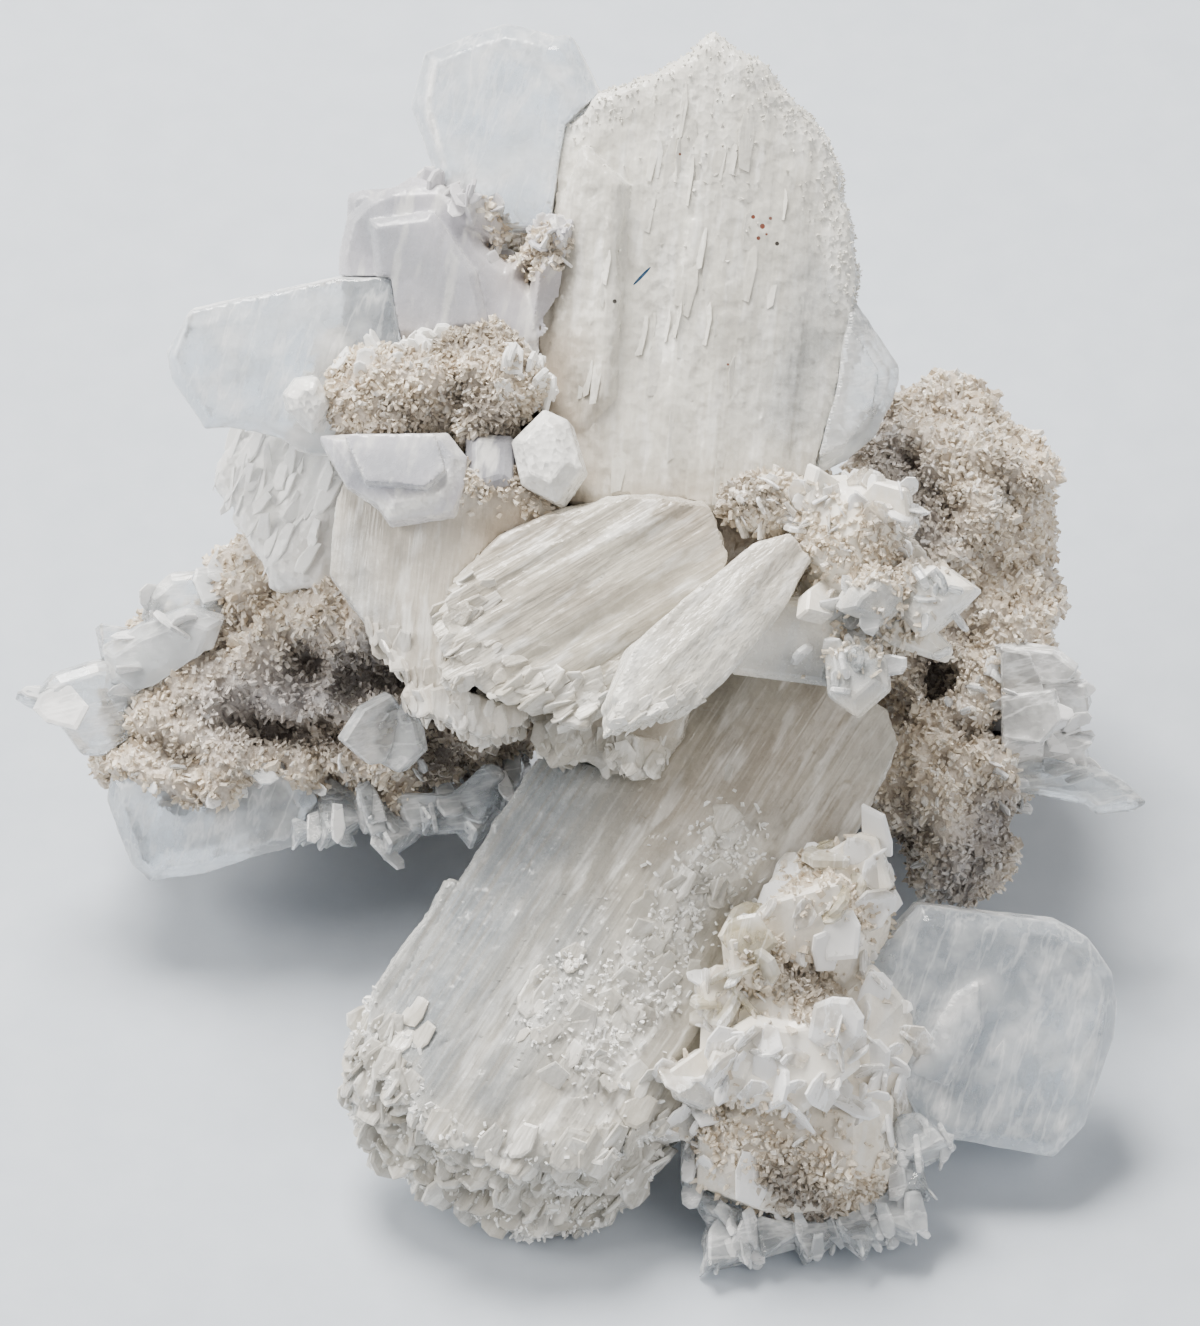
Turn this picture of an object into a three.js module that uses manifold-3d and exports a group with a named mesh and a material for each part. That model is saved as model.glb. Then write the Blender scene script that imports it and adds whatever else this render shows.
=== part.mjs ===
// A stilbite cluster: striated milky blades and clear plates grown together on a drusy matrix rock.
// Millimetres, +Z up, resting on Z = 0, origin at the middle of its footprint.
import * as THREE from "three";
import { mergeVertices } from "three/addons/utils/BufferGeometryUtils.js";
import Module from "manifold-3d";

const wasm = await Module();
wasm.setup();

// The cluster is drawn on its display face: x to the right, y up the face, z out of it.
// It lies back from upright by LAID_BACK degrees, with its face's origin REST_HEIGHT above the ground.
const LAID_BACK = 42;
const REST_HEIGHT = 30.5;
const GAP = 0.3;
const DRUSE_GRAINS = 6;

const { Matrix4, Vector2, Vector3 } = THREE;
const random = THREE.MathUtils.seededRandom;
random(41);

function between(low, high) {
  return low + (high - low) * random();
}

function solid(geometry) {
  geometry.deleteAttribute("normal");
  geometry.deleteAttribute("uv");
  const merged = mergeVertices(geometry, 1e-4);
  const vertProperties = new Float32Array(merged.attributes.position.array);
  const triVerts = new Uint32Array(merged.index.array);
  return new wasm.Manifold(new wasm.Mesh({ numProp: 3, vertProperties, triVerts }));
}

// Grows a geometry by the same amount on each side of its box.
function swell(geometry, grow) {
  geometry.computeBoundingBox();
  const centre = geometry.boundingBox.getCenter(new Vector3());
  const size = geometry.boundingBox.getSize(new Vector3());
  const more = 2 * grow;
  geometry.translate(-centre.x, -centre.y, -centre.z);
  geometry.scale((size.x + more) / size.x, (size.y + more) / size.y, (size.z + more) / size.z);
  geometry.translate(centre.x, centre.y, centre.z);
}

function placed(geometry, grow, across, up, out, at) {
  swell(geometry, grow);
  geometry.applyMatrix4(new Matrix4().makeBasis(across, up, out).setPosition(at));
  return solid(geometry);
}

// Each form below is a function of the room it takes: 0 for the crystal itself, more for its socket.
// A flat crystal: an outline on the display face, its front leaning by two slopes, its edges chamfered.
function plate(outline, out, lean, thick, chamfer = 0.5) {
  return (grow) => {
    const box = new THREE.Box2().setFromPoints(outline.map(([x, y]) => new Vector2(x, y)));
    const centre = box.getCenter(new Vector2());
    const normal = new Vector3(-lean[0], -lean[1], 1).normalize();
    const across = new Vector3(1, 0, lean[0]).normalize();
    const up = normal.clone().cross(across);
    const corners = outline.map(([x, y]) => {
      const dx = x - centre.x;
      const dy = y - centre.y;
      const corner = new Vector3(dx, dy, dx * lean[0] + dy * lean[1]);
      return new Vector2(corner.dot(across), corner.dot(up));
    });
    const edge = grow ? 0 : chamfer;
    const geometry = new THREE.ExtrudeGeometry(new THREE.Shape(corners), {
      depth: thick - 2 * edge,
      bevelEnabled: edge > 0,
      bevelThickness: edge,
      bevelSize: edge,
      bevelOffset: -edge,
      bevelSegments: 1,
    });
    geometry.translate(0, 0, edge - thick);
    return placed(geometry, grow, across, up, normal, new Vector3(centre.x, centre.y, out));
  };
}

// A bar along a crystal's length, crowned and grooved on top as a stilbite blade is.
function bar(root, tip, width, thick, crown, grooves, depth) {
  return (grow) => {
    const start = new Vector3(...root);
    const along = new Vector3(...tip).sub(start);
    const length = along.length();
    along.normalize();
    const across = new Vector3(0, 0, 1).cross(along).normalize();
    const top = along.clone().cross(across);
    const profile = [new Vector2(width / 2, -thick), new Vector2(-width / 2, -thick)];
    for (let i = 0; i <= 2 * grooves; i += 1) {
      const share = i / grooves - 1;
      const groove = i % 2 ? depth : 0;
      profile.push(new Vector2((share * width) / 2, -crown * share * share - groove));
    }
    const options = { depth: length, bevelEnabled: false };
    const geometry = new THREE.ExtrudeGeometry(new THREE.Shape(profile), options);
    return placed(geometry, grow, across, top, along, start);
  };
}

// A small bladed crystal with a blunt point, from its root to its tip, its flat side turned to facing.
function bladed(root, tip, width, thick, facing = [0.2, 0.3, 1]) {
  return (grow) => {
    const start = new Vector3(...root);
    const along = new Vector3(...tip).sub(start);
    const length = along.length();
    along.normalize();
    const across = along.clone().cross(new Vector3(...facing)).normalize();
    const out = across.clone().cross(along);
    const half = width / 2;
    const shoulder = length - 0.7 * width;
    const foot = half * 0.8;
    const outline = [[-foot, 0], [foot, 0], [half, shoulder], [half * 0.25, length], [-half, shoulder]];
    const shape = new THREE.Shape(outline.map(([x, y]) => new Vector2(x, y)));
    const geometry = new THREE.ExtrudeGeometry(shape, { depth: thick, bevelEnabled: false });
    geometry.translate(0, 0, -thick / 2);
    return placed(geometry, grow, across, along, out, start);
  };
}

// A rounded lump of rock with an uneven surface.
function lump(at, radii, detail, roughness) {
  return (grow) => {
    const geometry = new THREE.IcosahedronGeometry(1, grow ? 1 : detail);
    const position = geometry.attributes.position;
    const point = new Vector3();
    for (let i = 0; i < position.count; i += 1) {
      point.fromBufferAttribute(position, i);
      const [a, b, c] = point.toArray();
      const wide = Math.sin(3.1 * a + at[0]) * Math.sin(2.7 * b + at[1]) * Math.cos(2.9 * c);
      const fine = Math.sin(8.3 * a + at[1]) * Math.cos(7.1 * b) * Math.sin(7.7 * c + at[0]);
      point.multiplyScalar(1 + roughness * (wide + 0.7 * fine));
      position.setXYZ(i, point.x, point.y, point.z);
    }
    geometry.scale(...radii.map((radius) => radius + 2.5 * grow));
    geometry.translate(at[0], at[1], at[2]);
    return solid(geometry);
  };
}

function joined(...forms) {
  return (grow) => forms.map((form) => form(grow)).reduce((whole, form) => whole.add(form));
}

// The room both forms take together; the first alone shapes the socket.
function shared(first, second) {
  return (grow) => (grow ? first(grow) : first(0).intersect(second(0)));
}

// Breaks the edges from one corner to another into small teeth, as on a ragged end.
function toothed(outline, first, last, pitch, depth) {
  const ragged = [];
  outline.forEach(([x, y], i) => {
    ragged.push([x, y]);
    if (i < first || i >= last) {
      return;
    }
    const [nextX, nextY] = outline[(i + 1) % outline.length];
    const length = Math.hypot(nextX - x, nextY - y);
    const teeth = Math.floor(length / pitch);
    const turn = THREE.ShapeUtils.isClockWise(outline.map(([a, b]) => new Vector2(a, b))) ? 1 : -1;
    for (let k = 1; k < 2 * teeth; k += 1) {
      const share = (k + between(-0.25, 0.25)) / (2 * teeth);
      const room = 0.6 * length * Math.min(share, 1 - share);
      const cut = Math.min(room, k % 2 ? depth * between(0.5, 1) : depth * between(-0.2, 0.2));
      const inX = (turn * (nextY - y) * cut) / length;
      const inY = (-turn * (nextX - x) * cut) / length;
      ragged.push([x + (nextX - x) * share + inX, y + (nextY - y) * share + inY]);
    }
  });
  return ragged;
}

// A flat crystal whose edges between two corners are broken into teeth.
function ragged(outline, [first, last, pitch, depth], out, lean, thick, chamfer) {
  const rim = plate(toothed(outline, first, last, pitch, depth), out + 0.5, lean, thick + 1, 0);
  return shared(plate(outline, out, lean, thick, chamfer), rim);
}

// Overlapping scales on a blade's end, each one nearer its tip and lower on its face.
function scales(from, to, count, width, thick) {
  const forms = [];
  for (let i = 0; i < count; i += 1) {
    const share = i / Math.max(1, count - 1);
    const at = from.map((value, axis) => value + (to[axis] - value) * share);
    const corners = [];
    for (let k = 0; k < 6; k += 1) {
      const turn = (k / 6) * 2 * Math.PI + between(-0.25, 0.25);
      const reach = (width / 2) * between(0.8, 1.1);
      corners.push([at[0] + reach * Math.cos(turn), at[1] + reach * Math.sin(turn)]);
    }
    forms.push(plate(corners, at[2], [between(-0.25, 0.1), between(-0.3, 0.1)], thick, 0));
  }
  return joined(...forms);
}

const milky = { color: 0xd6d5cf, roughness: 0.45, metalness: 0 };
const sparkling = { color: 0xcfcec8, roughness: 0.5, metalness: 0 };
const clear = { color: 0xdfe6ea, roughness: 0.12, metalness: 0, transparent: true, opacity: 0.6 };
const lilac = { color: 0xc5c6d0, roughness: 0.35, metalness: 0 };
const cream = { color: 0xe2d9c6, roughness: 0.45, metalness: 0 };
const rock = { color: 0xaa9b8c, roughness: 0.85, metalness: 0 };

const specimen = new THREE.Group();
specimen.name = "specimen";
specimen.rotation.x = THREE.MathUtils.degToRad(LAID_BACK);
specimen.position.z = REST_HEIGHT;
specimen.updateMatrixWorld(true);

const ground = new THREE.BoxGeometry(300, 300, 60).translate(0, 0, -30);
ground.applyMatrix4(specimen.matrixWorld.clone().invert());
const belowGround = solid(ground);

// Sets a form in place with a small gap to each one set before it, and keeps its main body.
const settled = [];
function settle(name, look, form) {
  const whole = form(0);
  let body = whole.subtract(belowGround);
  for (const [socket, other] of settled) {
    body = body.subtract(socket);
    if (body.intersect(other).volume() > 0.004) {
      body = body.subtract(other);
    }
  }
  const bodies = body.decompose().sort((a, b) => b.volume() - a.volume());
  settled.push([form(GAP), whole]);
  const mesh = bodies[0].getMesh();
  const geometry = new THREE.BufferGeometry();
  geometry.setAttribute("position", new THREE.BufferAttribute(mesh.vertProperties, 3));
  geometry.setIndex(new THREE.BufferAttribute(mesh.triVerts, 1));
  geometry.computeBoundingBox();
  const centre = geometry.boundingBox.getCenter(new Vector3());
  geometry.translate(-centre.x, -centre.y, -centre.z);
  geometry.computeVertexNormals();
  const piece = new THREE.Mesh(geometry, new THREE.MeshStandardMaterial({ ...look, flatShading: true }));
  piece.name = name;
  piece.position.copy(centre);
  specimen.add(piece);
}

// Each crystal gives way to those before it: the blades first, then the rock, then what grew on them.
settle("narrow_blade", milky, shared(
  ragged([[11.6, 8.9], [6.9, 5.1], [3, 1.7], [1.3, -2.2], [1.4, -4.4], [3.6, -3.8], [6.9, -2.9],
    [9.6, -0.6], [13.7, 4.3], [15.8, 8], [14.2, 9.6]], [3, 6, 1.1, 0.7], 9.5, [-0.25, -0.25], 5, 0.4),
  bar([17, 12, 4.8], [-1, -6, 13.7], 9.5, 7, 1.2, 4, 0.16),
));

settle("fan_blade", milky, joined(
  shared(
    ragged([[-3.4, 10.9], [-7.1, 9.2], [-10.1, 6.3], [-11.5, 3.4], [-10.9, -1.6], [-7.5, -2.8],
      [-3.5, -3.4], [1.2, -3.1], [3.1, 1.7], [9.2, 6.6], [9.5, 8], [8.1, 11.6], [2.2, 12.2]],
      [2, 7, 2.6, 0.8], 6, [-0.08, 0.05], 8, 0.4),
    bar([14, 13, 4.4], [-14, -3.5, 6.8], 22, 8, 2.2, 8, 0.2),
  ),
  scales([-2, -2.4, 5.6], [-9.6, 2.4, 5.6], 3, 4.6, 1.3),
));

settle("centre_left_blade", milky, joined(
  shared(
    ragged([[-19.1, 13.7], [-19.7, 12.4], [-20, 9.1], [-20.2, 6.9], [-18.5, 4.7], [-16.9, 2.2],
      [-15.3, 0.1], [-13.3, -3], [-10.9, -4.3], [-8.8, -5.3], [-6.6, -4.3], [-5.2, -2.8], [-3, 4.7],
      [-3.8, 10.7], [-7.1, 14.1], [-12.8, 13.9]], [3, 11, 3, 0.7], 3.4, [0.05, -0.12], 8, 0.4),
    bar([-12, 18, 1.8], [-10, -9, 5], 19, 8, 2.2, 4, 0.15),
  ),
  scales([-13, -2.2, 3.6], [-7, -3.5, 4.2], 2, 3.2, 1.2),
));

settle("pointed_white_crystal", milky, plate(
  [[-4.3, 18.8], [-2.8, 18.1], [-1.8, 14.7], [-3.4, 12.4], [-5.8, 13.6], [-6.5, 16.6]],
  4.6, [0.2, -0.2], 4, 0.9,
));

settle("shelf_plate", lilac, joined(
  plate([[-21, 17.2], [-16.9, 17.4], [-11.5, 17.4], [-10.1, 15.6], [-10.3, 13.6], [-11.1, 11.7],
    [-15.8, 11], [-16.6, 12.2], [-19, 13.7]], 4.4, [0.1, -0.35], 3.4, 0.9),
  plate([[-19, 17], [-12.4, 17], [-11.6, 14.4], [-13, 13.2], [-17.4, 13.6]], 5.2, [0.1, -0.35], 2, 0),
));

settle("grey_plate", lilac, plate(
  [[-9.6, 16.8], [-6.9, 16.6], [-7, 13.6], [-9.6, 12.9]], 3.2, [0.1, -0.3], 3, 0.5,
));

settle("small_white_crystal", milky, plate(
  [[-23.2, 19.9], [-22.4, 21], [-21.1, 21.2], [-20.1, 19.4], [-21.4, 17.2], [-23, 18.8]],
  2.6, [-0.2, 0.1], 3, 0.7,
));

settle("big_upper_blade", sparkling, joined(
  shared(
    ragged([[-2.6, 40.4], [-0.1, 42.7], [2.8, 43.8], [5.4, 44.9], [7, 46.1], [8.4, 47.5], [10.2, 46],
      [12.2, 44.8], [13.7, 42.8], [15.4, 41.3], [16.6, 39.8], [17.6, 37.4], [18.5, 33.5], [19, 29.8],
      [18.6, 27.2], [17.6, 21.2], [15.9, 14.5], [9, 11.5], [0, 11.8], [-4.1, 14.5], [-4.5, 19.7],
      [-4.3, 28.7]], [0, 14, 3.2, 0.5], -0.6, [0.06, -0.04], 9, 0.6),
    bar([4.5, 6, 0.2], [8.5, 52, -1.1], 27, 10, 2.4, 5, 0.15),
  ),
  plate([[-3.6, 33], [-1.4, 38.6], [1.2, 36], [0.6, 20], [-1.8, 17], [-3.9, 21]], -0.4, [0.5, 0], 2.4, 0.4),
));

settle("upper_side_lobe", clear, joined(
  plate([[15.6, 29], [17.6, 29.4], [20.2, 25.9], [22.6, 22.3], [22.6, 21.1], [22.1, 19.6], [20.8, 17.2],
    [18.8, 15.4], [14.4, 13.4]], -2.4, [-0.25, 0.05], 6, 0.9),
  plate([[15.6, 27], [18.8, 25], [20.9, 22], [20.3, 19], [18.4, 16.4], [15, 15]],
    -1.7, [-0.25, 0.05], 2, 0),
));

settle("left_clear_blade", clear, shared(
  ragged([[-16, 28.6], [-19.8, 28.6], [-30.8, 26.2], [-32.5, 23.2], [-32.2, 21.4], [-30.1, 18.2],
    [-29.8, 17.6], [-25.9, 17.4], [-22.7, 16], [-20.6, 14.8], [-14, 17]],
    [5, 9, 2, 0.4], -0.6, [0.06, 0.1], 6, 0.9),
  bar([-10, 25, -0.2], [-38, 20.4, -1.4], 14.5, 7, 1, 4, 0.12),
));

settle("left_block", lilac, joined(
  plate([[-19.1, 33.5], [-17.6, 35], [-15.6, 35.8], [-12, 35.9], [-10.7, 34.8], [-8.9, 31.3], [-7.1, 29.9],
    [-5.6, 30.6], [-5.9, 28.9], [-3, 25], [-4.1, 23.8], [-9.3, 22], [-15.1, 22], [-19.8, 25.2],
    [-19.7, 30.7]], -1.4, [0.12, 0.04], 9, 0.7),
  plate([[-19, 35.3], [-17.9, 35.6], [-15.6, 35.8], [-14.2, 36.6], [-12, 35.9], [-13, 30], [-19.2, 31]],
    -2.4, [0.1, 0.02], 6, 0.6),
  plate([[-17.4, 33.2], [-12.6, 33.8], [-9.4, 29.4], [-8.4, 25], [-16.2, 24.2]],
    -0.2, [0.08, 0.05], 2.4, 0.6),
  bladed([-7.6, 32.4, -4], [-10.8, 34.9, -0.2], 2.6, 1.6),
  bladed([-4.6, 30, -3], [-2.6, 33, 0.6], 2.8, 2),
  bladed([-4.8, 24, -2], [-3.7, 30.8, 0.2], 2, 1.2, [0.6, 0, 1]),
));

settle("top_clear_crystal", clear, plate(
  [[-14.2, 42.1], [-13.2, 46], [-11.3, 46.7], [-9.6, 47.4], [-7.2, 48.1], [-5.3, 47.7], [-3.5, 47.2],
    [-2.4, 47.2], [-0.1, 42.6], [1, 40], [-2.6, 33], [-11, 33], [-12.1, 36]],
  -2.2, [0.1, -0.05], 6, 1.1,
));

settle("under_fan_blade", milky, joined(
  ragged([[-5.2, 2], [-5.2, -3.9], [-4.5, -6.1], [-2.5, -7.3], [0.6, -8.1], [3.8, -8.6], [6, -5.8],
    [8, 1], [3, 4]], [1, 5, 2, 0.5], 1.4, [0, 0.05], 7, 0.8),
  scales([-3, -6, 2], [3, -7.2, 2.2], 2, 3.6, 1.2),
));

// The lower blade's end, broken into overlapping steps, each one farther back than the one under it.
const LOWER_END = [[-12.8, -19.5], [-15.8, -24.3], [-17.9, -27.4], [-18.7, -31.5], [-18.1, -34.3],
  [-16.9, -36.1], [-14.8, -37.6], [-13.2, -38.9], [-10.5, -40.1], [-7.9, -41.4], [-5.2, -42.8],
  [-2.5, -42.5], [0.8, -41.8], [3.4, -37], [4.9, -35]];
const END_STEPS = 3;
const STEP_BACK = 2;
const STEP_UP = 0.9;
function endStep(i) {
  const back = i * STEP_BACK;
  const end = LOWER_END.map(([x, y]) => [x + back * 0.55 + 0.04 * i * (x + 6), y + back * 0.83]);
  const outline = toothed([...end, [1, -26], [-6, -20]], 0, 14, 4.2, 0.5);
  return plate(outline, 1.4 + (i - END_STEPS) * STEP_UP, [-0.14, -0.2], 2.6, 0);
}
settle("lower_big_blade", milky, joined(
  shared(
    plate([[3, -2], [-4, -6.8], [-7.1, -11.3], [-12.2, -19.6], [-15.4, -25.3], [-15.4, -30.6], [-11.8, -35],
      [-6.4, -37.4], [-0.6, -37.4], [4.9, -34.2], [13.5, -22.3], [20.2, -11.1], [22.5, -5.9],
      [21, -1.3], [12, 1]], 1.2, [-0.14, -0.2], 8, 0.8),
    bar([16, 0, -4], [-11, -44, 8.4], 31, 14, 4, 5, 0.2),
  ),
  ...Array.from({ length: END_STEPS }, (_, i) => endStep(i)),
  shared(
    plate([[10.4, -12.6], [7, -9], [-2, -21.6], [-8, -32], [-7, -36.4], [0, -37.6], [3, -34.4], [8, -26]],
      2.6, [-0.14, -0.2], 4, 0.5),
    bar([12.6, -6, -0.4], [-7.6, -42, 9.6], 13, 8, 2.2, 2, 0.15),
  ),
));

settle("lower_right_clear_plate", clear, joined(
  plate([[20.3, -22.6], [24.2, -18.4], [30.1, -19.2], [34.5, -19.7], [36.6, -20.8], [38.5, -23.4],
    [38.8, -26], [38.6, -28.1], [37.6, -30.9], [36.4, -34.8], [34.2, -37.1], [24.9, -35.4],
    [22.5, -31.3]], -0.4, [-0.08, 0.06], 6, 1),
  plate([[23.5, -30.6], [26.6, -25], [28.2, -24], [28.4, -27.4], [26, -31.6]], 0.6, [0.05, 0.1], 2, 0),
));

settle("left_white_sheaf", milky, shared(
  ragged([[-28, 17.6], [-29.2, 15.4], [-29.4, 13.8], [-28.7, 12.5], [-26.6, 8.7], [-25.3, 6], [-18, 6],
    [-17, 14.2], [-20.6, 18]], [0, 5, 2, 0.4], -8.4, [0.2, -0.1], 8, 0.8),
  bar([-19, 24, -8], [-25, -1, -7.4], 16, 9, 2.4, 4, 0.15),
));

settle("lower_left_prism", clear, plate(
  [[-37.4, -9], [-37.7, -10.7], [-37, -12.7], [-35.9, -15.6], [-34.6, -16.9], [-30.4, -16.3],
    [-27, -15.1], [-23.1, -14], [-21.8, -11], [-24, -7.6], [-34, -7.6]],
  -14.2, [0.04, 0.25], 7, 1.1,
));

// The matrix: centre, radii and detail of each lump, from the right mass across to the left mass.
const ROCK = [
  [[26.6, 11.6, -20], [7.6, 9, 9], 2],
  [[30.4, 12.4, -18.6], [3.8, 4.6, 5], 1],
  [[27.4, 0, -20], [7.2, 9, 10], 2],
  [[31.6, 4.4, -18.6], [3.2, 4.4, 4.6], 1],
  [[26, -9, -18], [6.4, 6.8, 8.4], 1],
  [[27.6, -14.6, -17.4], [4, 3.8, 4.6], 1],
  [[23, 0, -28], [10, 11, 11], 1],
  [[4, 6, -17], [19, 12, 13.5], 1],
  [[-2, 20, -13], [18, 14, 8.6], 1],
  [[-17, 6, -15], [8, 9, 9], 1],
  [[-31, -3, -19], [7, 7, 7.4], 1],
  [[-29.6, -7.6, -16.6], [8.4, 3.9, 5.4], 1],
  [[-21, 1, -19.4], [9.6, 8.8, 9], 2],
  [[-25.4, 5.6, -17], [4.2, 4, 4.4], 1],
  [[-14.6, -5.6, -16], [9.4, 4.6, 5.8], 1],
  [[-20, -3, -29], [9.8, 8, 9.4], 1],
];
const HOLLOWS = [
  [[-22, 0, -9.6], [1.5, 1.6, 2.6]],
  [[-17, -1.4, -9.6], [3, 1, 2.6]],
  [[-24, -5, -10.6], [6, 0.8, 2.6]],
  [[25.3, -1.4, -9.4], [1.8, 1.7, 2.6]],
  [[22.6, -15.4, -11], [1.5, 1.8, 2.6]],
];

// Coarse grains of the druse that stand out of the rock.
const GRAINS = Array.from({ length: DRUSE_GRAINS }, (_, i) => {
  const [at, radii] = ROCK[i % ROCK.length];
  const way = new Vector3(between(-1, 1), between(-1, 1), between(-1, 1)).normalize();
  const place = at.map((value, axis) => value + way.getComponent(axis) * radii[axis]);
  const turn = new THREE.Euler(6 * random(), 6 * random(), 6 * random());
  const grain = new THREE.OctahedronGeometry(between(1, 1.7)).scale(0.7, 1.5, 0.5);
  grain.applyMatrix4(new Matrix4().makeRotationFromEuler(turn));
  return grain.translate(...place);
});

function matrixRock(grow) {
  const lumps = joined(...ROCK.map(([at, radii, detail]) => lump(at, radii, detail, 0.13)))(grow);
  const grainy = GRAINS.reduce((whole, grain) => whole.add(solid(grain.clone())), lumps);
  return HOLLOWS.reduce((whole, [at, radii]) => whole.subtract(lump(at, radii, 1, 0.1)(0)), grainy);
}
settle("matrix_rock", rock, matrixRock);

settle("centre_right_cluster", cream, joined(
  lump([19, 7, -1], [4.6, 6.5, 7], 1, 0.1),
  lump([18.4, 9.4, 3.4], [4, 4.4, 3.2], 1, 0.16),
  lump([12.4, 12, 1.5], [3.4, 2.2, 2.6], 1, 0.16),
  plate([[10, 4.7], [9.9, -0.8], [16.9, -1.7], [18.8, 4.7]], 5, [0.1, 0.15], 2.2),
  plate([[16.6, 1.4], [16.9, -2.2], [18.8, -3.6], [21.1, -1.6], [21, 0.4], [19.3, 1.8]],
    7.4, [0.2, -0.2], 3, 0.8),
  plate([[18.9, 5.2], [20.9, 6.8], [22.6, 5.5], [22.6, 4], [21.1, 2.6], [18.1, 3.8]],
    8, [-0.3, 0.2], 3, 0.7),
  plate([[22.4, 7.4], [25.3, 7.1], [27.4, 5.6], [25.8, 4], [23.6, 2.1], [21.6, 4]],
    7, [0.35, -0.1], 3.4, 0.6),
  plate([[22, 3.6], [23.2, 2], [24.5, 2.4], [26.2, 0.8], [25.8, 0], [24.1, 0.5], [21, 1.6]],
    5.6, [0, 0.2], 2.6),
  plate([[20.4, 13.4], [22.6, 12.8], [22.8, 10.8], [20.6, 10.4], [19.2, 12]], 6.2, [0.3, 0.2], 1.6, 0),
  plate([[9.6, 11.4], [9.9, 10.4], [11.6, 9.2], [13.4, 9.9], [12.4, 12]], 5.2, [-0.2, 0.5], 1.2, 0),
  bladed([18, 9, 2], [15.6, 14.4, 5.4], 3, 1.4),
  bladed([18, 6, 3], [15.2, 3.4, 7.6], 2.4, 1.2, [0.5, 0.4, 1]),
));

settle("druse_knob", rock, joined(
  lump([-15.4, 20.2, -0.4], [4.9, 4.2, 4.2], 1, 0.14),
  lump([-8, 21, 0], [3.4, 4, 3.4], 1, 0.14),
  lump([-9.6, 23.6, -1], [3.4, 2.2, 2.6], 1, 0.12),
));

settle("lower_right_rosette", cream, joined(
  lump([17, -19.4, -3], [5.4, 6, 6.4], 1, 0.12),
  lump([12.8, -28.4, -0.5], [7, 6.6, 6.4], 1, 0.12),
  lump([14.6, -35.8, -0.4], [8.4, 6, 5.4], 1, 0.13),
  lump([20, -28, -3], [5, 8, 5], 1, 0.12),
  plate([[15.6, -16], [17.1, -14.2], [19.3, -12.9], [20.6, -13.2], [21.7, -16.8], [18, -18]],
    1.6, [0.2, 0.1], 1.4, 0),
  plate([[9.7, -20.6], [10, -23.6], [12.3, -24.4], [13.6, -23.7], [13.4, -20.6], [11.4, -20]],
    6, [-0.3, 0.1], 2, 0),
  plate([[7.7, -24], [8, -25.2], [10.3, -26.8], [12.6, -25.4], [11.6, -22.8], [8.6, -22.6]],
    4.4, [-0.3, -0.2], 1.6, 0),
  plate([[11, -19.6], [13, -17.8], [17.8, -16.4], [18.6, -20], [15, -22.6]], 4.6, [0.1, 0.3], 1.8, 0),
  plate([[19.4, -24], [22.8, -23.1], [25.1, -26.1], [24, -27.6], [21, -28]], 4.2, [0.3, 0.1], 1.6, 0),
  plate([[8.2, -28.2], [11.4, -26.3], [14, -26.8], [17.7, -26.2], [19.2, -30], [15, -33.4], [9.2, -32.4]],
    6.6, [0.05, 0.05], 2.4, 0.6),
  plate([[7.6, -28.8], [5.3, -30.4], [5.9, -32.3], [8.2, -33.2], [11, -31.4]], 4.4, [-0.3, -0.1], 1.6, 0),
  plate([[3.1, -32.2], [4.8, -35.1], [6.6, -35.7], [8.6, -33.6], [6, -31.4]], 2.4, [-0.2, 0.1], 1.8, 0),
  bladed([16, -28, 3], [18.6, -26.4, 8], 3.4, 1.2, [-0.4, 1, 0.6]),
  bladed([11, -30, 3], [8.6, -29.6, 8], 3, 1.2, [0.2, 1, 0.4]),
));

const FOOT_TIPS = [[8.4, -45.6], [12.6, -44.5], [16, -44.9], [20.3, -44.2], [23.8, -42.9], [24.8, -39.5],
  [26.2, -35.6]];
settle("foot_crystals", clear, joined(
  plate([[6.2, -36], [6.2, -39.1], [8.2, -42.3], [7.7, -43.8], [8.7, -45.6], [12.5, -44.5], [14.6, -43.9],
    [16, -44.9], [18, -43.2], [21.6, -42.6], [22.9, -40], [23.5, -36]], 0.8, [0, 0.1], 3.2, 0.5),
  ...FOOT_TIPS.map(([x, y], i) => bladed([14 + i, -36, -2], [x, y, 1.4 - 0.4 * (i % 3)], 3.4, 2.2)),
));

settle("twin_plates", clear, joined(
  plate([[-19.3, -5.9], [-17.8, -3.6], [-15.8, -2.5], [-15.1, -3.6], [-15.7, -5.8], [-16.3, -7.4],
    [-17.4, -7.6]], -6.6, [-0.4, 0.2], 1.3, 0),
  plate([[-14.9, -3], [-14.1, -4.6], [-13.7, -6.6], [-15.3, -8.2], [-16.6, -7.5], [-17.4, -5.6]],
    -7.4, [0.5, 0.1], 1.2, 0),
  bladed([-16.4, -5, -11], [-16.2, -4.6, -6.6], 2.8, 1.2),
));

settle("left_tip_crystals", clear, joined(
  plate([[-43, -2.9], [-41.5, -1.1], [-38.4, -0.1], [-34, 0], [-35, -6], [-38.2, -7.1], [-39.4, -7],
    [-41.3, -4.3]], -13.4, [-0.2, 0.1], 3, 0.7),
  plate([[-38, 0.8], [-35.3, 2.5], [-31.5, 3.9], [-29, 3], [-31, -2.4], [-35.6, -2.6], [-37.4, -1.6]],
    -11.8, [0.1, 0.2], 3.6, 0.8),
  plate([[-35.1, 3.4], [-34.6, 5.2], [-32.9, 6.7], [-31.2, 6.8], [-29.5, 6.5], [-27.4, 3], [-31, 0]],
    -14.2, [0.1, 0.1], 2.6, 0.6),
  bladed([-33, -2, -16], [-38.6, 2.6, -15], 2.6, 1.4),
));

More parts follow.
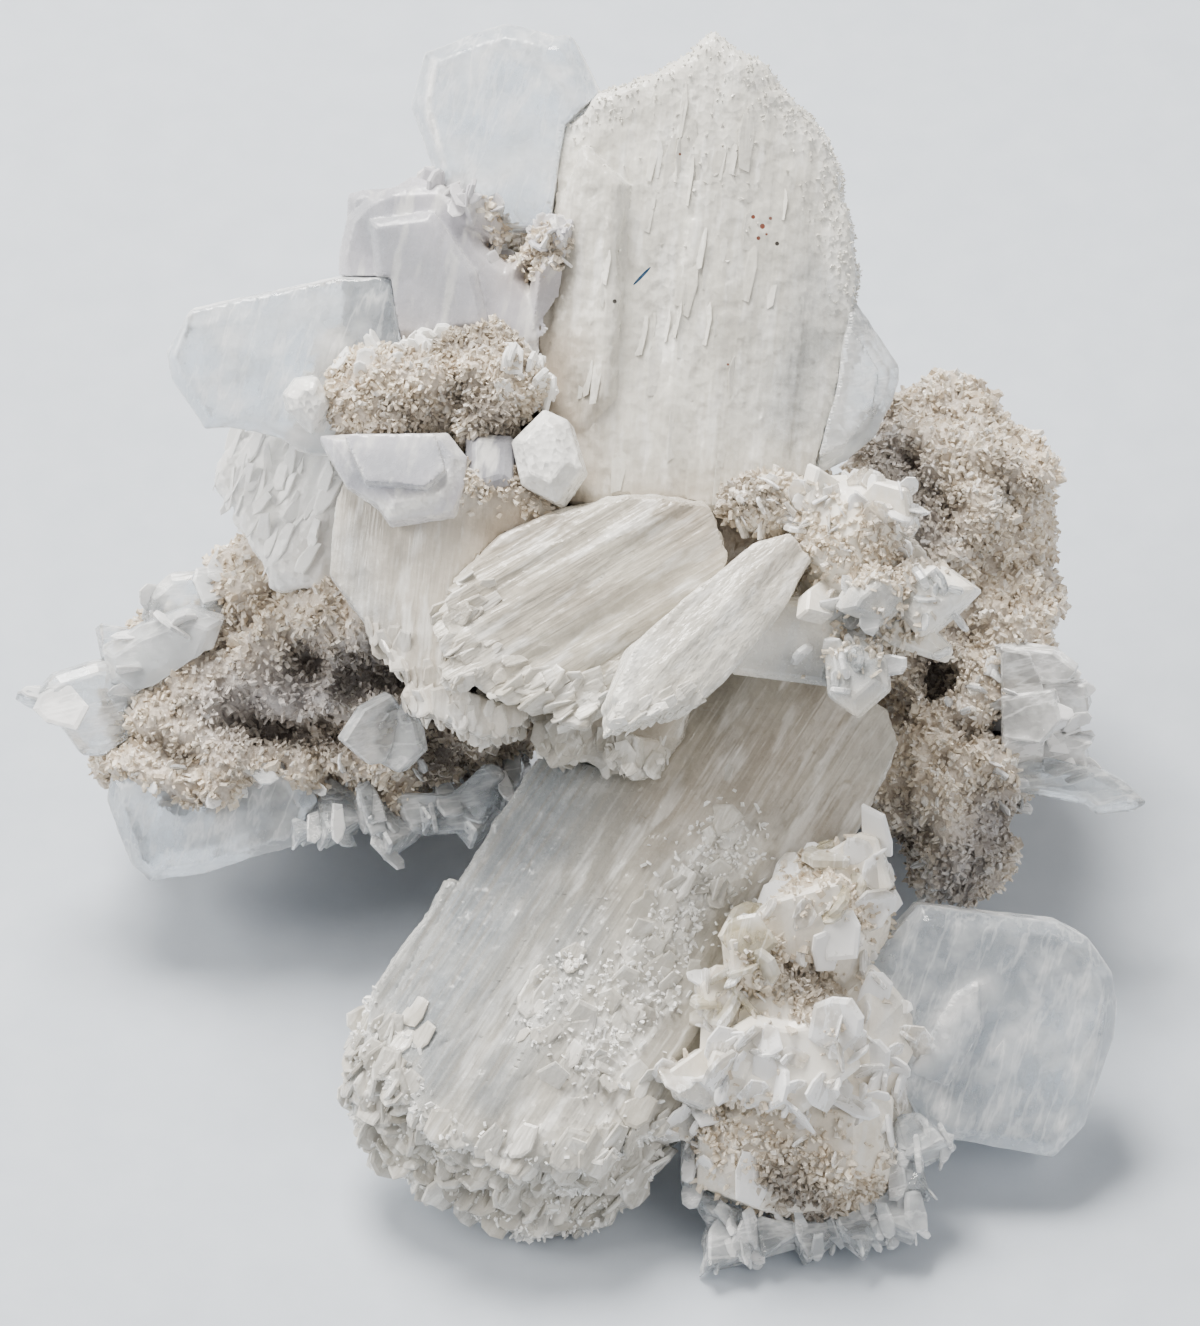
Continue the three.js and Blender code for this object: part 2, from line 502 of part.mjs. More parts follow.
// Each blunt point of the row: x, y and width.
const POINTS = [[-22.9, -13.9, 3.2], [-20.4, -13.7, 3.4], [-17.4, -12.6, 3], [-15.7, -14.6, 4],
  [-12.8, -12.6, 3], [-9.1, -13.6, 4.6], [-6.9, -10.6, 4], [-5.2, -7.6, 3.6]];
settle("lower_left_points", clear, joined(
  ...POINTS.map(([x, y, width]) => (
    bladed([x * 0.8 - 3, y + 6, -18.6], [x, y, -13.4], width, 2, [0.3, 0.6, 1])
  )),
  plate([[-15.4, -7.6], [-15.8, -10.6], [-14.6, -13.1], [-9, -13], [-7.4, -8.7], [-9, -7]],
    -13, [0.1, 0.2], 2.2, 0.5),
));

settle("right_ledge_plates", clear, joined(
  plate([[30.6, 1], [32.6, 0.6], [34, -3], [33.6, -8], [30.8, -8.4]], -10.6, [0, 0.3], 4, 0),
  plate([[30, 1.4], [34.4, 0.7], [36.1, -0.6], [35.5, -1.4], [31, -1.6]], -10, [0.2, 0.3], 1.5, 0),
  plate([[31, -1], [36.8, -1.8], [37.1, -3.4], [36.6, -4.8], [31, -4.6]], -11, [0.2, 0.3], 1.5, 0),
  plate([[31, -4.4], [37.4, -6.1], [36.8, -6.7], [37.2, -8.4], [32, -8]], -12, [0.2, 0.3], 1.5, 0),
  plate([[30.6, -2.6], [34.2, -2.2], [34.8, -4.4], [33.4, -6], [30.8, -5.6]], -9, [0.3, 0.1], 1.4, 0),
));

settle("spike_crystal", clear, plate(
  [[31, -6.6], [37.2, -7.8], [40.1, -9.4], [41.5, -10.7], [40.7, -11.2], [37.9, -11.5],
    [37, -10.7], [31, -9.6]],
  -11.4, [0.05, 0.1], 2.4, 0.6,
));

// Centres the footprint on the origin.
const group = new THREE.Group();
group.name = "stilbite_cluster";
group.add(specimen);
group.updateMatrixWorld(true);
const extent = new THREE.Box3().setFromObject(group, true);
const middle = extent.getCenter(new Vector3());
specimen.position.x -= middle.x;
specimen.position.y -= middle.y;
specimen.position.z -= extent.min.z;
group.updateMatrixWorld(true);

export default group;
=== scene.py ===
"""A stilbite cluster on its drusy matrix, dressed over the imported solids. Metres, +Z up."""
import math

import bmesh
import bpy
import numpy as np
from mathutils import Matrix, Vector


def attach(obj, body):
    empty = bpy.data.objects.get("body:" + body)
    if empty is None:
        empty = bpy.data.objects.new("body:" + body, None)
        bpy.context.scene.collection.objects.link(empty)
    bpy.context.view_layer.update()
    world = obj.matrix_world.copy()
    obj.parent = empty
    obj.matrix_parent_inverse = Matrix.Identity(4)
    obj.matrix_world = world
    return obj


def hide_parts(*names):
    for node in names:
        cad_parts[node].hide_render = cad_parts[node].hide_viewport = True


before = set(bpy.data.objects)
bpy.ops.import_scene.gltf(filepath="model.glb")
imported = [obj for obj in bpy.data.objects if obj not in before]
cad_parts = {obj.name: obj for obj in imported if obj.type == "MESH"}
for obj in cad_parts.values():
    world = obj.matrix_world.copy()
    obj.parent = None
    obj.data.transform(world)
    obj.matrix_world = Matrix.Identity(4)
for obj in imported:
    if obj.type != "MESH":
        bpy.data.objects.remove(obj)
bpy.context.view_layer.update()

# The display face: x to the right, y up the face, w out of it, in millimetres from the picture's middle.
LAID_BACK = math.radians(42)
SHIFT = np.array((0.93, -3.152, 30.5))
ACROSS = np.array((1.0, 0.0, 0.0))
UP = np.array((0.0, math.cos(LAID_BACK), math.sin(LAID_BACK)))
OUT = np.array((0.0, -math.sin(LAID_BACK), math.cos(LAID_BACK)))
BASIS = np.stack((ACROSS, UP, OUT))
PICTURE_MM = 99.45
MM = 0.001
MANY = 1.0


def to_world(points):
    return (np.atleast_2d(points) @ BASIS + SHIFT) * MM


def to_face(points):
    return (np.atleast_2d(points) / MM - SHIFT) @ BASIS.T


def turned(direction):
    vector = np.asarray(direction, float) @ BASIS
    return vector / np.linalg.norm(vector)


# Seeded noise, smooth and between -1 and 1.
def hashed(cell, seed):
    n = (cell[..., 0] * 73856093) ^ (cell[..., 1] * 19349663)
    n = n ^ (cell[..., 2] * 83492791) ^ (seed * 2654435761)
    n = (n ^ (n >> 13)) * 1274126177 & 0x7FFFFFFF
    n = (n ^ (n >> 16)) * 668265263 & 0x7FFFFFFF
    return n / 0x3FFFFFFF - 1.0


def noise(points, seed=0):
    cell = np.floor(points).astype(np.int64)
    part = points - cell
    part = part * part * (3 - 2 * part)
    total = np.zeros(len(points))
    for dx in (0, 1):
        for dy in (0, 1):
            for dz in (0, 1):
                weight = (part[:, 0] if dx else 1 - part[:, 0])
                weight = weight * (part[:, 1] if dy else 1 - part[:, 1])
                weight = weight * (part[:, 2] if dz else 1 - part[:, 2])
                total += weight * hashed(cell + (dx, dy, dz), seed)
    return total


def rough(points, size, octaves=3, seed=0):
    total = np.zeros(len(points))
    gain = 1.0
    for k in range(octaves):
        total += gain * noise(points / size * 2**k, seed + 17 * k)
        gain *= 0.5
    return total


def field(face, marks):
    """The strongest of some soft marks at each place, each a stroke: x, y to x, y, radius, strength."""
    total = np.zeros(len(face))
    for x, y, to_x, to_y, radius, strength in marks:
        stroke = np.array((to_x - x, to_y - y))
        place = face[:, :2] - (x, y)
        share = np.clip(place @ stroke / max(stroke @ stroke, 1e-9), 0, 1)
        away = np.linalg.norm(place - share[:, None] * stroke, axis=1) / radius
        total = np.maximum(total, strength * np.exp(-away**2))
    return total


# Mesh helpers. Edges sharper than a ridge are eased where they are long enough, and corners are
# put in order along a way that no crystal is square to.
SORT_WAY = (1.0, 0.755, 0.57)
WELD = 1e-6
FLAT_ANGLE = math.radians(1.5)
RIDGE_ANGLE = math.radians(30)
SHORTEST_EASED = 4


def unit(vectors):
    return vectors / np.maximum(np.linalg.norm(vectors, axis=1), 1e-12)[:, None]


def positions(mesh):
    flat = np.empty(len(mesh.vertices) * 3, np.float32)
    mesh.vertices.foreach_get("co", flat)
    return flat.reshape(-1, 3).astype(float)


def normals(mesh):
    flat = np.empty(len(mesh.vertices) * 3, np.float32)
    mesh.vertex_normals.foreach_get("vector", flat)
    return flat.reshape(-1, 3).astype(float)


def move(mesh, points):
    points[:, 2] = np.maximum(points[:, 2], 0)
    mesh.vertices.foreach_set("co", points.astype(np.float32).ravel())
    mesh.update()


def paint(mesh, name, values):
    layer = mesh.attributes.new(name, "FLOAT", "POINT")
    layer.data.foreach_set("value", np.clip(values, 0, 1).astype(np.float32))


def linked(name, mesh, material):
    piece = bpy.data.objects.new(name, mesh)
    bpy.context.scene.collection.objects.link(piece)
    mesh.materials.clear()
    mesh.materials.append(material)
    return piece


def crisp(mesh, degrees=28):
    mesh.polygons.foreach_set("use_smooth", np.ones(len(mesh.polygons), bool))
    mesh.set_sharp_from_angle(angle=math.radians(degrees))


def remeshed(node, voxel):
    """A copy of a solid's surface, meshed evenly so that relief can be worked into it."""
    piece = bpy.data.objects.new(node + "_grid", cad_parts[node].data.copy())
    bpy.context.scene.collection.objects.link(piece)
    grid = piece.modifiers.new("grid", "REMESH")
    grid.mode = "VOXEL"
    grid.voxel_size = voxel * MM
    shown = piece.evaluated_get(bpy.context.evaluated_depsgraph_get())
    mesh = bpy.data.meshes.new_from_object(shown)
    bpy.data.objects.remove(piece)
    for layer in [a.name for a in mesh.attributes if a.name.startswith("UV") or a.name == "Color"]:
        mesh.attributes.remove(mesh.attributes[layer])
    return mesh


def lightened(mesh, share):
    """Merges faces until a share of them is left, the flattest first."""
    piece = bpy.data.objects.new(mesh.name + "_light", mesh)
    bpy.context.scene.collection.objects.link(piece)
    piece.modifiers.new("light", "DECIMATE").ratio = share
    shown = piece.evaluated_get(bpy.context.evaluated_depsgraph_get())
    light = bpy.data.meshes.new_from_object(shown)
    bpy.data.objects.remove(piece)
    return light


def settled(name, form):
    """A mesh of a form's triangles in the same order in each run, whatever order the bevel made them in."""
    form.verts.index_update()
    points = np.array([corner.co[:] for corner in form.verts])
    order = np.argsort(points @ SORT_WAY)
    rank = np.argsort(order)
    faces = []
    for face in form.faces:
        corners = [int(rank[corner.index]) for corner in face.verts]
        first = corners.index(min(corners))
        faces.append(corners[first:] + corners[:first])
    mesh = bpy.data.meshes.new(name)
    mesh.from_pydata(points[order].tolist(), [], sorted(faces))
    return mesh


def eased(node, ease, grown):
    """A copy of a solid with flat faces and eased edges, grown a little to meet its neighbours."""
    form = bmesh.new()
    form.from_mesh(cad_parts[node].data)
    bmesh.ops.remove_doubles(form, verts=form.verts, dist=WELD)
    bmesh.ops.dissolve_limit(form, angle_limit=FLAT_ANGLE, verts=form.verts, edges=form.edges)
    ridges = [e for e in form.edges if e.is_manifold and e.calc_face_angle() > RIDGE_ANGLE
              and e.calc_length() > SHORTEST_EASED * ease * MM]
    bmesh.ops.bevel(form, geom=ridges, offset=ease * MM, segments=1, affect="EDGES", clamp_overlap=False)
    bmesh.ops.triangulate(form, faces=form.faces)
    mesh = settled(node + "_eased", form)
    form.free()
    move(mesh, positions(mesh) + normals(mesh) * grown * MM)
    return mesh


def dressed(piece, slot, *nodes):
    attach(piece, "root")
    if nodes:
        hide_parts(*nodes)


# Materials: the colours that are mixed in, among them painted shade, a painted glint and a painted
# see-through grey, then the crystals' refraction and plain roughness.
WHITE = (0.96, 0.95, 0.91)
SEEN_THROUGH_GREY = (0.4, 0.45, 0.5)
GROOVE_SHADE = (0.42, 0.39, 0.34)
STAIN_AND_SHADE = (0.4, 0.32, 0.24)
PAINTED_GLINT = (0.96, 0.94, 0.9)
COOL_GREY = (0.5, 0.49, 0.52)
VEIL_WHITE = (0.98, 0.98, 0.98)
CRYSTAL_IOR = 1.5
PEARLY = 0.22
GLOSSY = 0.08

# Specks and a fibre on the big blade: a place on the display face, a radius and a colour.
DEPTH_SQUEEZE = 300
RUST = (0.16, 0.05, 0.03)
FIBRE = (0.02, 0.06, 0.12)
SOOT = (0.04, 0.035, 0.03)
SPECKS = [(11.5, 33.5, 0.16, RUST), (12.2, 32.8, 0.2, RUST), (12.8, 33.4, 0.13, RUST),
          (11.9, 31.9, 0.15, RUST), (12.5, 32.2, 0.1, RUST), (13.3, 31.5, 0.16, SOOT),
          (1.1, 27.1, 0.16, SOOT), (6, 38.2, 0.1, RUST), (9.6, 22.4, 0.1, RUST)]
FIBRE_PLACE = (3.15, 29.05, 0.0)
FIBRE_TURN = math.radians(46)
FIBRE_SIZE = (0.95, 0.11, 1.0)


class Shader:
    def __init__(self, name):
        self.material = bpy.data.materials.new(name)
        self.material.use_nodes = True
        self.tree = self.material.node_tree
        self.surface = self.tree.nodes["Principled BSDF"]
        self.place = self.add("ShaderNodeTexCoord").outputs["Object"]

    def add(self, kind, **values):
        node = self.tree.nodes.new(kind)
        for key, value in values.items():
            setattr(node, key, value)
        return node

    def link(self, source, target):
        if isinstance(source, bpy.types.NodeSocket):
            self.tree.links.new(source, target)
        else:
            target.default_value = source

    def along(self, direction, stretch):
        """The place, turned so that X runs along a direction, and shortened along it."""
        mapping = self.add("ShaderNodeMapping", vector_type="TEXTURE")
        spin = Vector(turned(direction)).to_track_quat("X", "Z").to_euler()
        mapping.inputs["Rotation"].default_value = spin
        mapping.inputs["Scale"].default_value = (stretch, 1, 1)
        self.link(self.place, mapping.inputs["Vector"])
        return mapping.outputs["Vector"]

    def on_face(self):
        """The place on the display face, squeezed in depth so that a mark shows at any depth."""
        mapping = self.add("ShaderNodeMapping", vector_type="TEXTURE")
        mapping.inputs["Location"].default_value = SHIFT * MM
        mapping.inputs["Rotation"].default_value = (LAID_BACK, 0, 0)
        mapping.inputs["Scale"].default_value = (1, 1, DEPTH_SQUEEZE)
        self.link(self.place, mapping.inputs["Vector"])
        return mapping.outputs["Vector"]

    def within(self, vector, place, turn, size):
        """The distance from the middle of an ellipsoid, as a share of its half axes."""
        mapping = self.add("ShaderNodeMapping", vector_type="TEXTURE")
        mapping.inputs["Location"].default_value = [value * MM for value in place]
        mapping.inputs["Rotation"].default_value = (0, 0, turn)
        mapping.inputs["Scale"].default_value = [value * MM for value in size]
        self.link(vector, mapping.inputs["Vector"])
        length = self.add("ShaderNodeVectorMath", operation="LENGTH")
        self.link(mapping.outputs["Vector"], length.inputs[0])
        return length.outputs["Value"]

    def noise(self, millimetres, detail=3, vector=None, roughness=0.55):
        node = self.add("ShaderNodeTexNoise")
        node.inputs["Scale"].default_value = 1 / (millimetres * MM)
        node.inputs["Detail"].default_value = detail
        node.inputs["Roughness"].default_value = roughness
        self.link(vector or self.place, node.inputs["Vector"])
        return node.outputs["Fac"]

    def cells(self, millimetres):
        node = self.add("ShaderNodeTexVoronoi")
        node.inputs["Scale"].default_value = 1 / (millimetres * MM)
        self.link(self.place, node.inputs["Vector"])
        return node.outputs["Distance"], node.outputs["Color"]

    def attribute(self, name):
        return self.add("ShaderNodeAttribute", attribute_name=name).outputs["Fac"]

    def math(self, operation, *values):
        node = self.add("ShaderNodeMath", operation=operation)
        for socket, value in zip(node.inputs, values):
            self.link(value, socket)
        return node.outputs["Value"]

    def ramp(self, value, *stops):
        node = self.add("ShaderNodeValToRGB")
        while len(node.color_ramp.elements) < len(stops):
            node.color_ramp.elements.new(0.5)
        for element, (position, color) in zip(node.color_ramp.elements, stops):
            element.position = position
            element.color = (*color, 1) if isinstance(color, tuple) else (color, color, color, 1)
        self.link(value, node.inputs["Fac"])
        return node.outputs["Color"]

    def mix(self, share, first, second):
        node = self.add("ShaderNodeMix", data_type="RGBA")
        for name, value in (("Factor", share), ("A", first), ("B", second)):
            target = [s for s in node.inputs if s.name == name and s.enabled][0]
            self.link((*value, 1) if isinstance(value, tuple) else value, target)
        return [s for s in node.outputs if s.enabled][0]

    def bump(self, height, distance, strength=1.0):
        node = self.add("ShaderNodeBump")
        node.inputs["Distance"].default_value = distance * MM
        node.inputs["Strength"].default_value = strength
        self.link(height, node.inputs["Height"])
        return node.outputs["Normal"]

    def facets(self, normal, cell, tilt):
        """Turns each small cell of the surface its own way, as a crust of fine crystals does."""
        centred = self.add("ShaderNodeVectorMath", operation="SUBTRACT")
        self.link(cell, centred.inputs[0])
        centred.inputs[1].default_value = (0.5, 0.5, 0.5)
        scaled = self.add("ShaderNodeVectorMath", operation="SCALE")
        self.link(centred.outputs["Vector"], scaled.inputs[0])
        self.link(tilt, scaled.inputs["Scale"])
        total = self.add("ShaderNodeVectorMath", operation="ADD")
        self.link(normal, total.inputs[0])
        self.link(scaled.outputs["Vector"], total.inputs[1])
        level = self.add("ShaderNodeVectorMath", operation="NORMALIZE")
        self.link(total.outputs["Vector"], level.inputs[0])
        return level.outputs["Vector"]

    def finish(self, base, roughness, normal, **plain):
        self.link(base, self.surface.inputs["Base Color"])
        self.link(roughness, self.surface.inputs["Roughness"])
        self.link(normal, self.surface.inputs["Normal"])
        for key, value in plain.items():
            self.surface.inputs[key.replace("_", " ")].default_value = value
        return self.material


def crystal(name, along, dark, light, stria, sugar, pitch=0.4, dirt=()):
    """Milky pearly crystal with striae along it, whiter blotches, and a crust where it is frosted; painted
    shade darkens its grooves and its shaded places, and its translucent zones take a painted see-through
    grey.
    """
    s = Shader(name)
    lines = s.noise(pitch, 2, s.along(along, 26))
    frost = s.attribute("frost")
    glass = s.attribute("glass")
    base = s.ramp(s.noise(4.5, 4), (0.32, dark), (0.66, light))
    base = s.mix(s.ramp(s.noise(1.4, 3, s.along(along, 4)), (0.53, 0.0), (0.64, 0.6)), base, WHITE)
    # Translucent zones take a painted bluish see-through grey, beside their real transmission.
    base = s.mix(s.math("MULTIPLY", glass, 0.8), base, SEEN_THROUGH_GREY)
    base = s.mix(s.ramp(lines, (0.56, 0.0), (0.7, 0.28 * stria)), base, WHITE)
    # Painted shade in the striae's grooves, stronger in shaded and translucent zones and none where
    # frosted.
    depth = s.math("ADD", s.math("MULTIPLY_ADD", glass, 0.6, 0.6), s.attribute("shade"))
    depth = s.math("MAXIMUM", s.math("SUBTRACT", depth, frost), 0.0)
    base = s.mix(s.math("MULTIPLY", s.ramp(lines, (0.34, 0.6 * stria), (0.5, 0.0)), depth), base, GROOVE_SHADE)
    base = s.mix(frost, base, WHITE)
    base = s.mix(s.math("MULTIPLY", s.attribute("tint"), 0.5), base, WHITE)
    # Brownish tone, partly stain and partly painted shade under overhangs, at roots and in pockets.
    base = s.mix(s.attribute("shade"), base, STAIN_AND_SHADE)
    face = s.on_face() if dirt else None
    for x, y, radius, color in dirt:
        away = s.add("ShaderNodeVectorMath", operation="DISTANCE")
        s.link(face, away.inputs[0])
        away.inputs[1].default_value = (x * MM, y * MM, 0)
        base = s.mix(s.math("LESS_THAN", away.outputs["Value"], radius * MM), base, color)
    if dirt:
        fibre = s.math("LESS_THAN", s.within(face, FIBRE_PLACE, FIBRE_TURN, FIBRE_SIZE), 1.0)
        base = s.mix(fibre, base, FIBRE)
    crust = s.math("MULTIPLY_ADD", frost, 0.75, sugar)
    away, cell = s.cells(0.42)
    height = s.math("MULTIPLY_ADD", lines, stria, s.math("MULTIPLY", away, crust))
    normal = s.facets(s.bump(height, 0.12), cell, s.math("MULTIPLY", crust, 0.8))
    roughness = s.ramp(s.noise(0.5, 2), (0.35, PEARLY * 0.7), (0.68, PEARLY * 1.7))
    s.link(s.math("MULTIPLY", glass, 0.45), s.surface.inputs["Transmission Weight"])
    return s.finish(base, roughness, normal, IOR=CRYSTAL_IOR)


def glassy(name, along, tint, milk):
    """Clear crystal with feathery veils, whiter rims and fine growth lines."""
    s = Shader(name)
    lines = s.noise(0.5, 2, s.along(along, 18))
    frost = s.attribute("frost")
    feather = s.ramp(s.noise(1.7, 4, s.along(along, 5)), (0.45, 0.0), (0.5, 1.0), (0.55, 0.0))
    cloud = s.ramp(s.noise(3.2, 4), (0.4, 0.0), (0.72, 1.0))
    veil = s.math("MULTIPLY_ADD", feather, 0.5 * milk, s.math("MULTIPLY", cloud, milk))
    veil = s.math("ADD", veil, s.math("MULTIPLY", s.attribute("tint"), milk))
    veil = s.math("MAXIMUM", veil, frost)
    base = s.mix(s.math("MINIMUM", s.math("MULTIPLY", veil, 1.6), 1.0), tint, VEIL_WHITE)
    # Brownish tone, partly stain and partly painted shade.
    base = s.mix(s.attribute("shade"), base, STAIN_AND_SHADE)
    clear = s.math("SUBTRACT", 0.96 - 0.3 * milk, veil)
    s.link(s.math("MAXIMUM", clear, 0.08), s.surface.inputs["Transmission Weight"])
    roughness = s.math("MULTIPLY_ADD", veil, 0.35, GLOSSY)
    height = s.math("MULTIPLY_ADD", lines, 0.5, s.math("MULTIPLY", s.noise(0.35, 3), 0.3))
    normal = s.facets(s.bump(height, 0.08), s.cells(0.4)[1], s.math("MULTIPLY", frost, 0.5))
    return s.finish(base, roughness, normal, IOR=CRYSTAL_IOR)


def druse_material(name, pit_shade_color, mid, light, gloss):
    """Fine grains over rock: each has its own tint, the palest running up to a painted glint, hollows are
    darkened with painted shade, and some parts are cool grey.
    """
    s = Shader(name)
    # The palest grains run up to a painted glint.
    base = s.ramp(s.attribute("tint"), (0.0, mid), (0.5, light), (1.0, PAINTED_GLINT))
    base = s.mix(s.ramp(s.noise(2.6, 4), (0.42, 0.0), (0.66, 0.6)), base, mid)
    base = s.mix(s.attribute("cool"), base, COOL_GREY)
    # Painted shade in the hollows and pits, over a random darker tone.
    base = s.mix(s.attribute("pit_shade_and_tone"), base, pit_shade_color)
    roughness = s.ramp(s.noise(0.35, 2), (0.35, gloss * 0.5), (0.7, gloss * 1.7))
    away, cell = s.cells(0.25)
    normal = s.facets(s.bump(away, 0.08, 0.7), cell, 0.5)
    return s.finish(base, roughness, normal, IOR=CRYSTAL_IOR)


# Where the rock's pits get painted shade, and where it is cool grey.
SHADED_PITS = [(-22, 0, -22, 0.2, 2.2, 1.0), (-19, -0.8, -15.6, 0.6, 2.2, 0.95),
              (-28, -4.6, -19, -6.6, 1.3, 0.85), (-12.6, -7.6, -12, -7, 2.2, 0.9),
              (-14, -3.6, -11, -5, 2, 0.8), (-9, -9, -7, -7, 2.4, 0.6), (25.3, -1.4, 25.3, 0, 2, 1.0),
              (30.2, -5.4, 30.6, -5, 1.3, 0.9), (22.2, -16.2, 22.6, -14, 2.2, 0.9), (24, 8, 25, 6, 2, 0.45),
              (21.4, 16, 24, 13, 1.8, 0.6), (31, -12, 28, -17, 2, 0.6), (13.6, -38.8, 16, -41, 2.2, 0.95),
              (-8.6, 18.4, -6, 17.4, 2.4, 0.6), (-12, 24, -6, 24.4, 1.5, 0.5), (8, 13.4, 12, 12, 2.2, 0.6),
              (20, 1.6, 21, 3, 2, 0.4), (14.4, -23.4, 16.4, -25.4, 1.8, 0.7),
              (-10, 19.6, -6, 17.2, 2.0, 0.8), (-16, 18.6, -12, 18, 1.6, 0.6),
              (-7, 15, -1.4, 12.2, 2.4, 0.6), (-31, 3, -30, 1, 1.2, 0.5), (-34, -6, -32, -7, 1, 0.5),
              (23.2, 15.6, 24.6, 13.4, 1.3, 0.85), (30.8, 13.4, 31.2, 12.6, 0.9, 0.75),
              (25.6, 12.6, 26.6, 11.8, 1.1, 0.65), (22.8, -10.4, 24.4, -12.6, 1.4, 0.65),
              (27.2, -4.6, 27.8, -5.4, 0.9, 0.65), (26.6, 3.4, 28, 2, 1, 0.4),
              (28.4, 8.6, 30, 7.4, 1.2, 0.35)]
COOL_SPOTS = [(-28, -3.4, -16, -0.6, 3.2, 0.7), (22, 17, 24, 10, 2.6, 0.5), (30, -12, 27, -17, 2.4, 0.6)]


# Painted shade in the pits, over a random darker tone.
def shaded_pits_and_tone(face):
    return np.maximum(0.02 + 0.45 * rough(face, 3.4, 3, 5), field(face, SHADED_PITS))


def sampled(mesh, count, keep, rng):
    """Random places spread over a mesh's surface, with their outward directions."""
    mesh.calc_loop_triangles()
    corners = np.empty(len(mesh.loop_triangles) * 3, np.int32)
    mesh.loop_triangles.foreach_get("vertices", corners)
    corners = corners.reshape(-1, 3)
    points = positions(mesh)
    a, b, c = (points[corners[:, k]] for k in range(3))
    cross = np.cross(b - a, c - a)
    area = np.linalg.norm(cross, axis=1)
    facing = cross / np.maximum(area, 1e-20)[:, None]
    weight = area * keep(to_face((a + b + c) / 3), facing @ BASIS.T)
    chosen = rng.choice(len(weight), count, p=weight / weight.sum())
    u = np.sqrt(rng.random(count))[:, None]
    v = rng.random(count)[:, None]
    at = a[chosen] * (1 - u) + b[chosen] * u * (1 - v) + c[chosen] * u * v
    return at, facing[chosen]


# Outlines along and across a small crystal, and its rings: the share of its thickness and of its outline.
TABLET = ((-0.5, -0.3), (0.1, -0.5), (0.4, -0.34), (0.5, 0.02), (0.4, 0.36), (0.08, 0.5), (-0.5, 0.32))
GRAIN = ((-0.5, -0.4), (0.2, -0.5), (0.5, 0.15), (-0.5, 0.44))
EASED_RINGS = ((-0.5, 0.84), (-0.28, 1.0), (0.28, 1.0), (0.5, 0.84))
PLAIN_RINGS = ((-0.5, 1.0), (0.5, 1.0))


def grown(name, at, grow, flat, size, tint, material, outline, rings, sink, rng):
    """Small flat crystals as one mesh, each with its own slightly uneven outline."""
    grow = unit(grow)
    side = unit(np.cross(flat, grow))
    out = np.cross(grow, side)
    length, width, thick = (value[:, None] * MM for value in size)
    uneven = 1 + 0.1 * rng.normal(size=(len(at), len(outline), 1))
    corners = []
    for height, inset in rings:
        for k, (u, v) in enumerate(outline):
            spread = inset * uneven[:, k]
            forward = grow * length * (u * spread + 0.5 - sink)
            corners.append(at + forward + side * width * v * spread + out * thick * height)
    points = np.stack(corners, 1)
    above = points[:, :, 2].min(axis=1) > 0
    points, at, tint = points[above], at[above], tint[above]
    sides = len(outline)
    base = (np.arange(len(at)) * points.shape[1])[:, None]
    last = (len(rings) - 1) * sides
    faces = (base + np.arange(sides)[::-1]).tolist() + (base + last + np.arange(sides)).tolist()
    for ring in range(0, last, sides):
        for k in range(sides):
            after = (k + 1) % sides
            faces += (base + ring + np.array((k, after, after + sides, k + sides))).tolist()
    mesh = bpy.data.meshes.new(name)
    mesh.from_pydata(points.reshape(-1, 3).tolist(), [], faces)
    face = to_face(at)
    # The second layer is painted shade from the pits each grain sits in, over a random tone; tint and cool
    # are the grains' own tone.
    for layer, values in (("tint", tint), ("pit_shade_and_tone", shaded_pits_and_tone(face)), ("cool", field(face, COOL_SPOTS))):
        paint(mesh, layer, np.repeat(values, points.shape[1]))
    return linked(name, mesh, material)


def scattered(name, source, count, sizes, look, slot, keep, seed, spread=0.5, aspect=(0.4, 0.75),
              thin=(0.3, 0.55), sink=0.3, tablets=False, way=None, lie=0.0, tints=(0.45, 0.24)):
    """Crystals grown at random from a surface: outward, or along a way, or lying on the surface."""
    rng = np.random.default_rng(seed)
    count = int(count * (1 if tablets else MANY))
    at, facing = sampled(source, count, keep, rng)
    stray = rng.normal(size=(count, 3))
    if way is None:
        grow, flat = facing + spread * stray, rng.normal(size=(count, 3))
    else:
        grow = turned(way) + spread * stray + (0.4 - lie) * facing
        flat = facing + (1 - lie) * 0.5 * rng.normal(size=(count, 3))
    length = rng.uniform(*sizes, count)
    width = length * rng.uniform(*aspect, count)
    size = (length, width, width * rng.uniform(*thin, count))
    tint = np.clip(rng.normal(*tints, count), 0, 1)
    outline, rings = (TABLET, EASED_RINGS) if tablets else (GRAIN, PLAIN_RINGS)
    piece = grown(name, at, grow, flat, size, tint, look, outline, rings, sink, rng)
    dressed(piece, slot)
    return piece


def near(marks, least=-0.2):
    def keep(middle, facing):
        return field(middle, marks) * (facing[:, 2] > least)
    return keep


# Finishes, read from the photograph's colours. A way is a crystal's long direction on the display face.
FAN_WAY = (0.85, 0.53, 0)
NARROW_WAY = (0.7, 0.7, 0)
LOWER_WAY = (0.54, 0.84, -0.2)
UPPER_WAY = (0.1, 1, 0)
upper_look = crystal("sugary_blade", UPPER_WAY, (0.56, 0.54, 0.48), (0.78, 0.76, 0.69), 0.5, 0.14,
                     dirt=SPECKS)
fan_look = crystal("fan_striated", FAN_WAY, (0.38, 0.34, 0.28), (0.61, 0.57, 0.48), 0.9, 0.1, 0.3)
narrow_look = crystal("narrow_striated", NARROW_WAY, (0.5, 0.47, 0.41), (0.76, 0.73, 0.65), 0.9, 0.1, 0.28)
left_look = crystal("smooth_upright", UPPER_WAY, (0.43, 0.39, 0.33), (0.66, 0.61, 0.53), 0.6, 0.06, 0.3)
